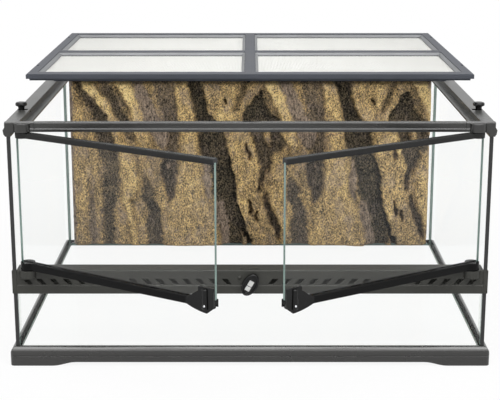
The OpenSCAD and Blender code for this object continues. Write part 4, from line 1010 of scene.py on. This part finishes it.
# %% [markdown]
# ## The white surround
# The camera, mirrors and glass see the surround at full white, but it lights the object with
# less than half of that, so the background stays white and the plastics keep their depth.

# %% White surround
SURROUND_LIGHT = 0.42
SURROUND_SEEN = 1.0


def white_background(node, strength):
    node.inputs["Color"].default_value = (1, 1, 1, 1)
    node.inputs["Strength"].default_value = strength
    return node.outputs["Background"]


def studio_world():
    world = bpy.data.worlds.new("Studio surround")
    world.use_nodes = True
    bpy.context.scene.world = world
    tree = world.node_tree
    light = white_background(tree.nodes["Background"], SURROUND_LIGHT)
    seen = white_background(tree.nodes.new("ShaderNodeBackground"), SURROUND_SEEN)
    mix_to_output(tree, is_seen(tree), light, seen, "World Output")
    return world


print("world:", studio_world().name)

# %% [markdown]
# ## Lamps
# Product shots use big soft boxes. The main one hangs above the front of the tank: its
# mirror image is the broad bright line along the base frame's rounded edge. One from the
# upper right models the rock, and a weak one from the left opens the shadows. A wide sheet
# above the front gives the upper faces long highlights. It is left out of diffuse light, so
# it adds gloss and nothing else.

# %% Soft boxes
# name: (place, target, size, radiance)
LAMPS = {
    "Overhead box": ((0, -0.85, 1.75), (0, -0.1, 0.15), (1.5, 1.25), 3.5),
    "Key box": ((1.3, -1.3, 1.8), (0, 0.1, 0.15), (0.9, 0.9), 5.0),
    "Fill box": ((-1.6, -1.2, 1.3), (0, 0.1, 0.15), (1.2, 1.2), 1.2),
    "Gloss sheet": ((0, -1.5, 2.2), (0, -0.1, 0.15), (4.0, 2.6), 3.0),
}


def soft_box(name, place, target, size, radiance):
    lamp = bpy.data.lights.new(name, "AREA")
    lamp.shape = "RECTANGLE"
    lamp.size, lamp.size_y = size
    lamp.energy = radiance * math.pi * size[0] * size[1]
    holder = bpy.data.objects.new(name, lamp)
    bpy.context.scene.collection.objects.link(holder)
    holder.location = place
    holder.rotation_euler = (Vector(target) - Vector(place)).to_track_quat("-Z", "Y").to_euler()
    print(name, "watts:", round(lamp.energy, 1))
    return holder


lamps = {name: soft_box(name, *setting) for name, setting in LAMPS.items()}
lamps["Gloss sheet"].visible_diffuse = False

# %% [markdown]
# ## Camera
# The picture is taken from straight in front and a little above, with a medium long lens that
# looks down by 13 degrees. A small shift of the lens brings the base into the picture without
# tilting further, so the tank's uprights stay nearly parallel.

# %% Camera
LENS = 85.57
CAMERA = {"y": -1.5876, "z": 0.6163, "down": 13.12, "shift": -0.1}
camera_data = bpy.data.cameras.new("Camera")
camera_data.lens = LENS
camera_data.shift_y = CAMERA["shift"]
camera = bpy.data.objects.new("Camera", camera_data)
camera.location = (0, CAMERA["y"], CAMERA["z"])
camera.rotation_euler = (math.radians(90 - CAMERA["down"]), 0, 0)
bpy.context.scene.collection.objects.link(camera)
bpy.context.scene.camera = camera
bpy.context.scene.view_settings.view_transform = "Standard"
print("camera looks down by", CAMERA["down"], "degrees")

# %% [markdown]
# ## Finish
# Last, the view layer is brought up to date.

# %% Finish
bpy.context.view_layer.update()
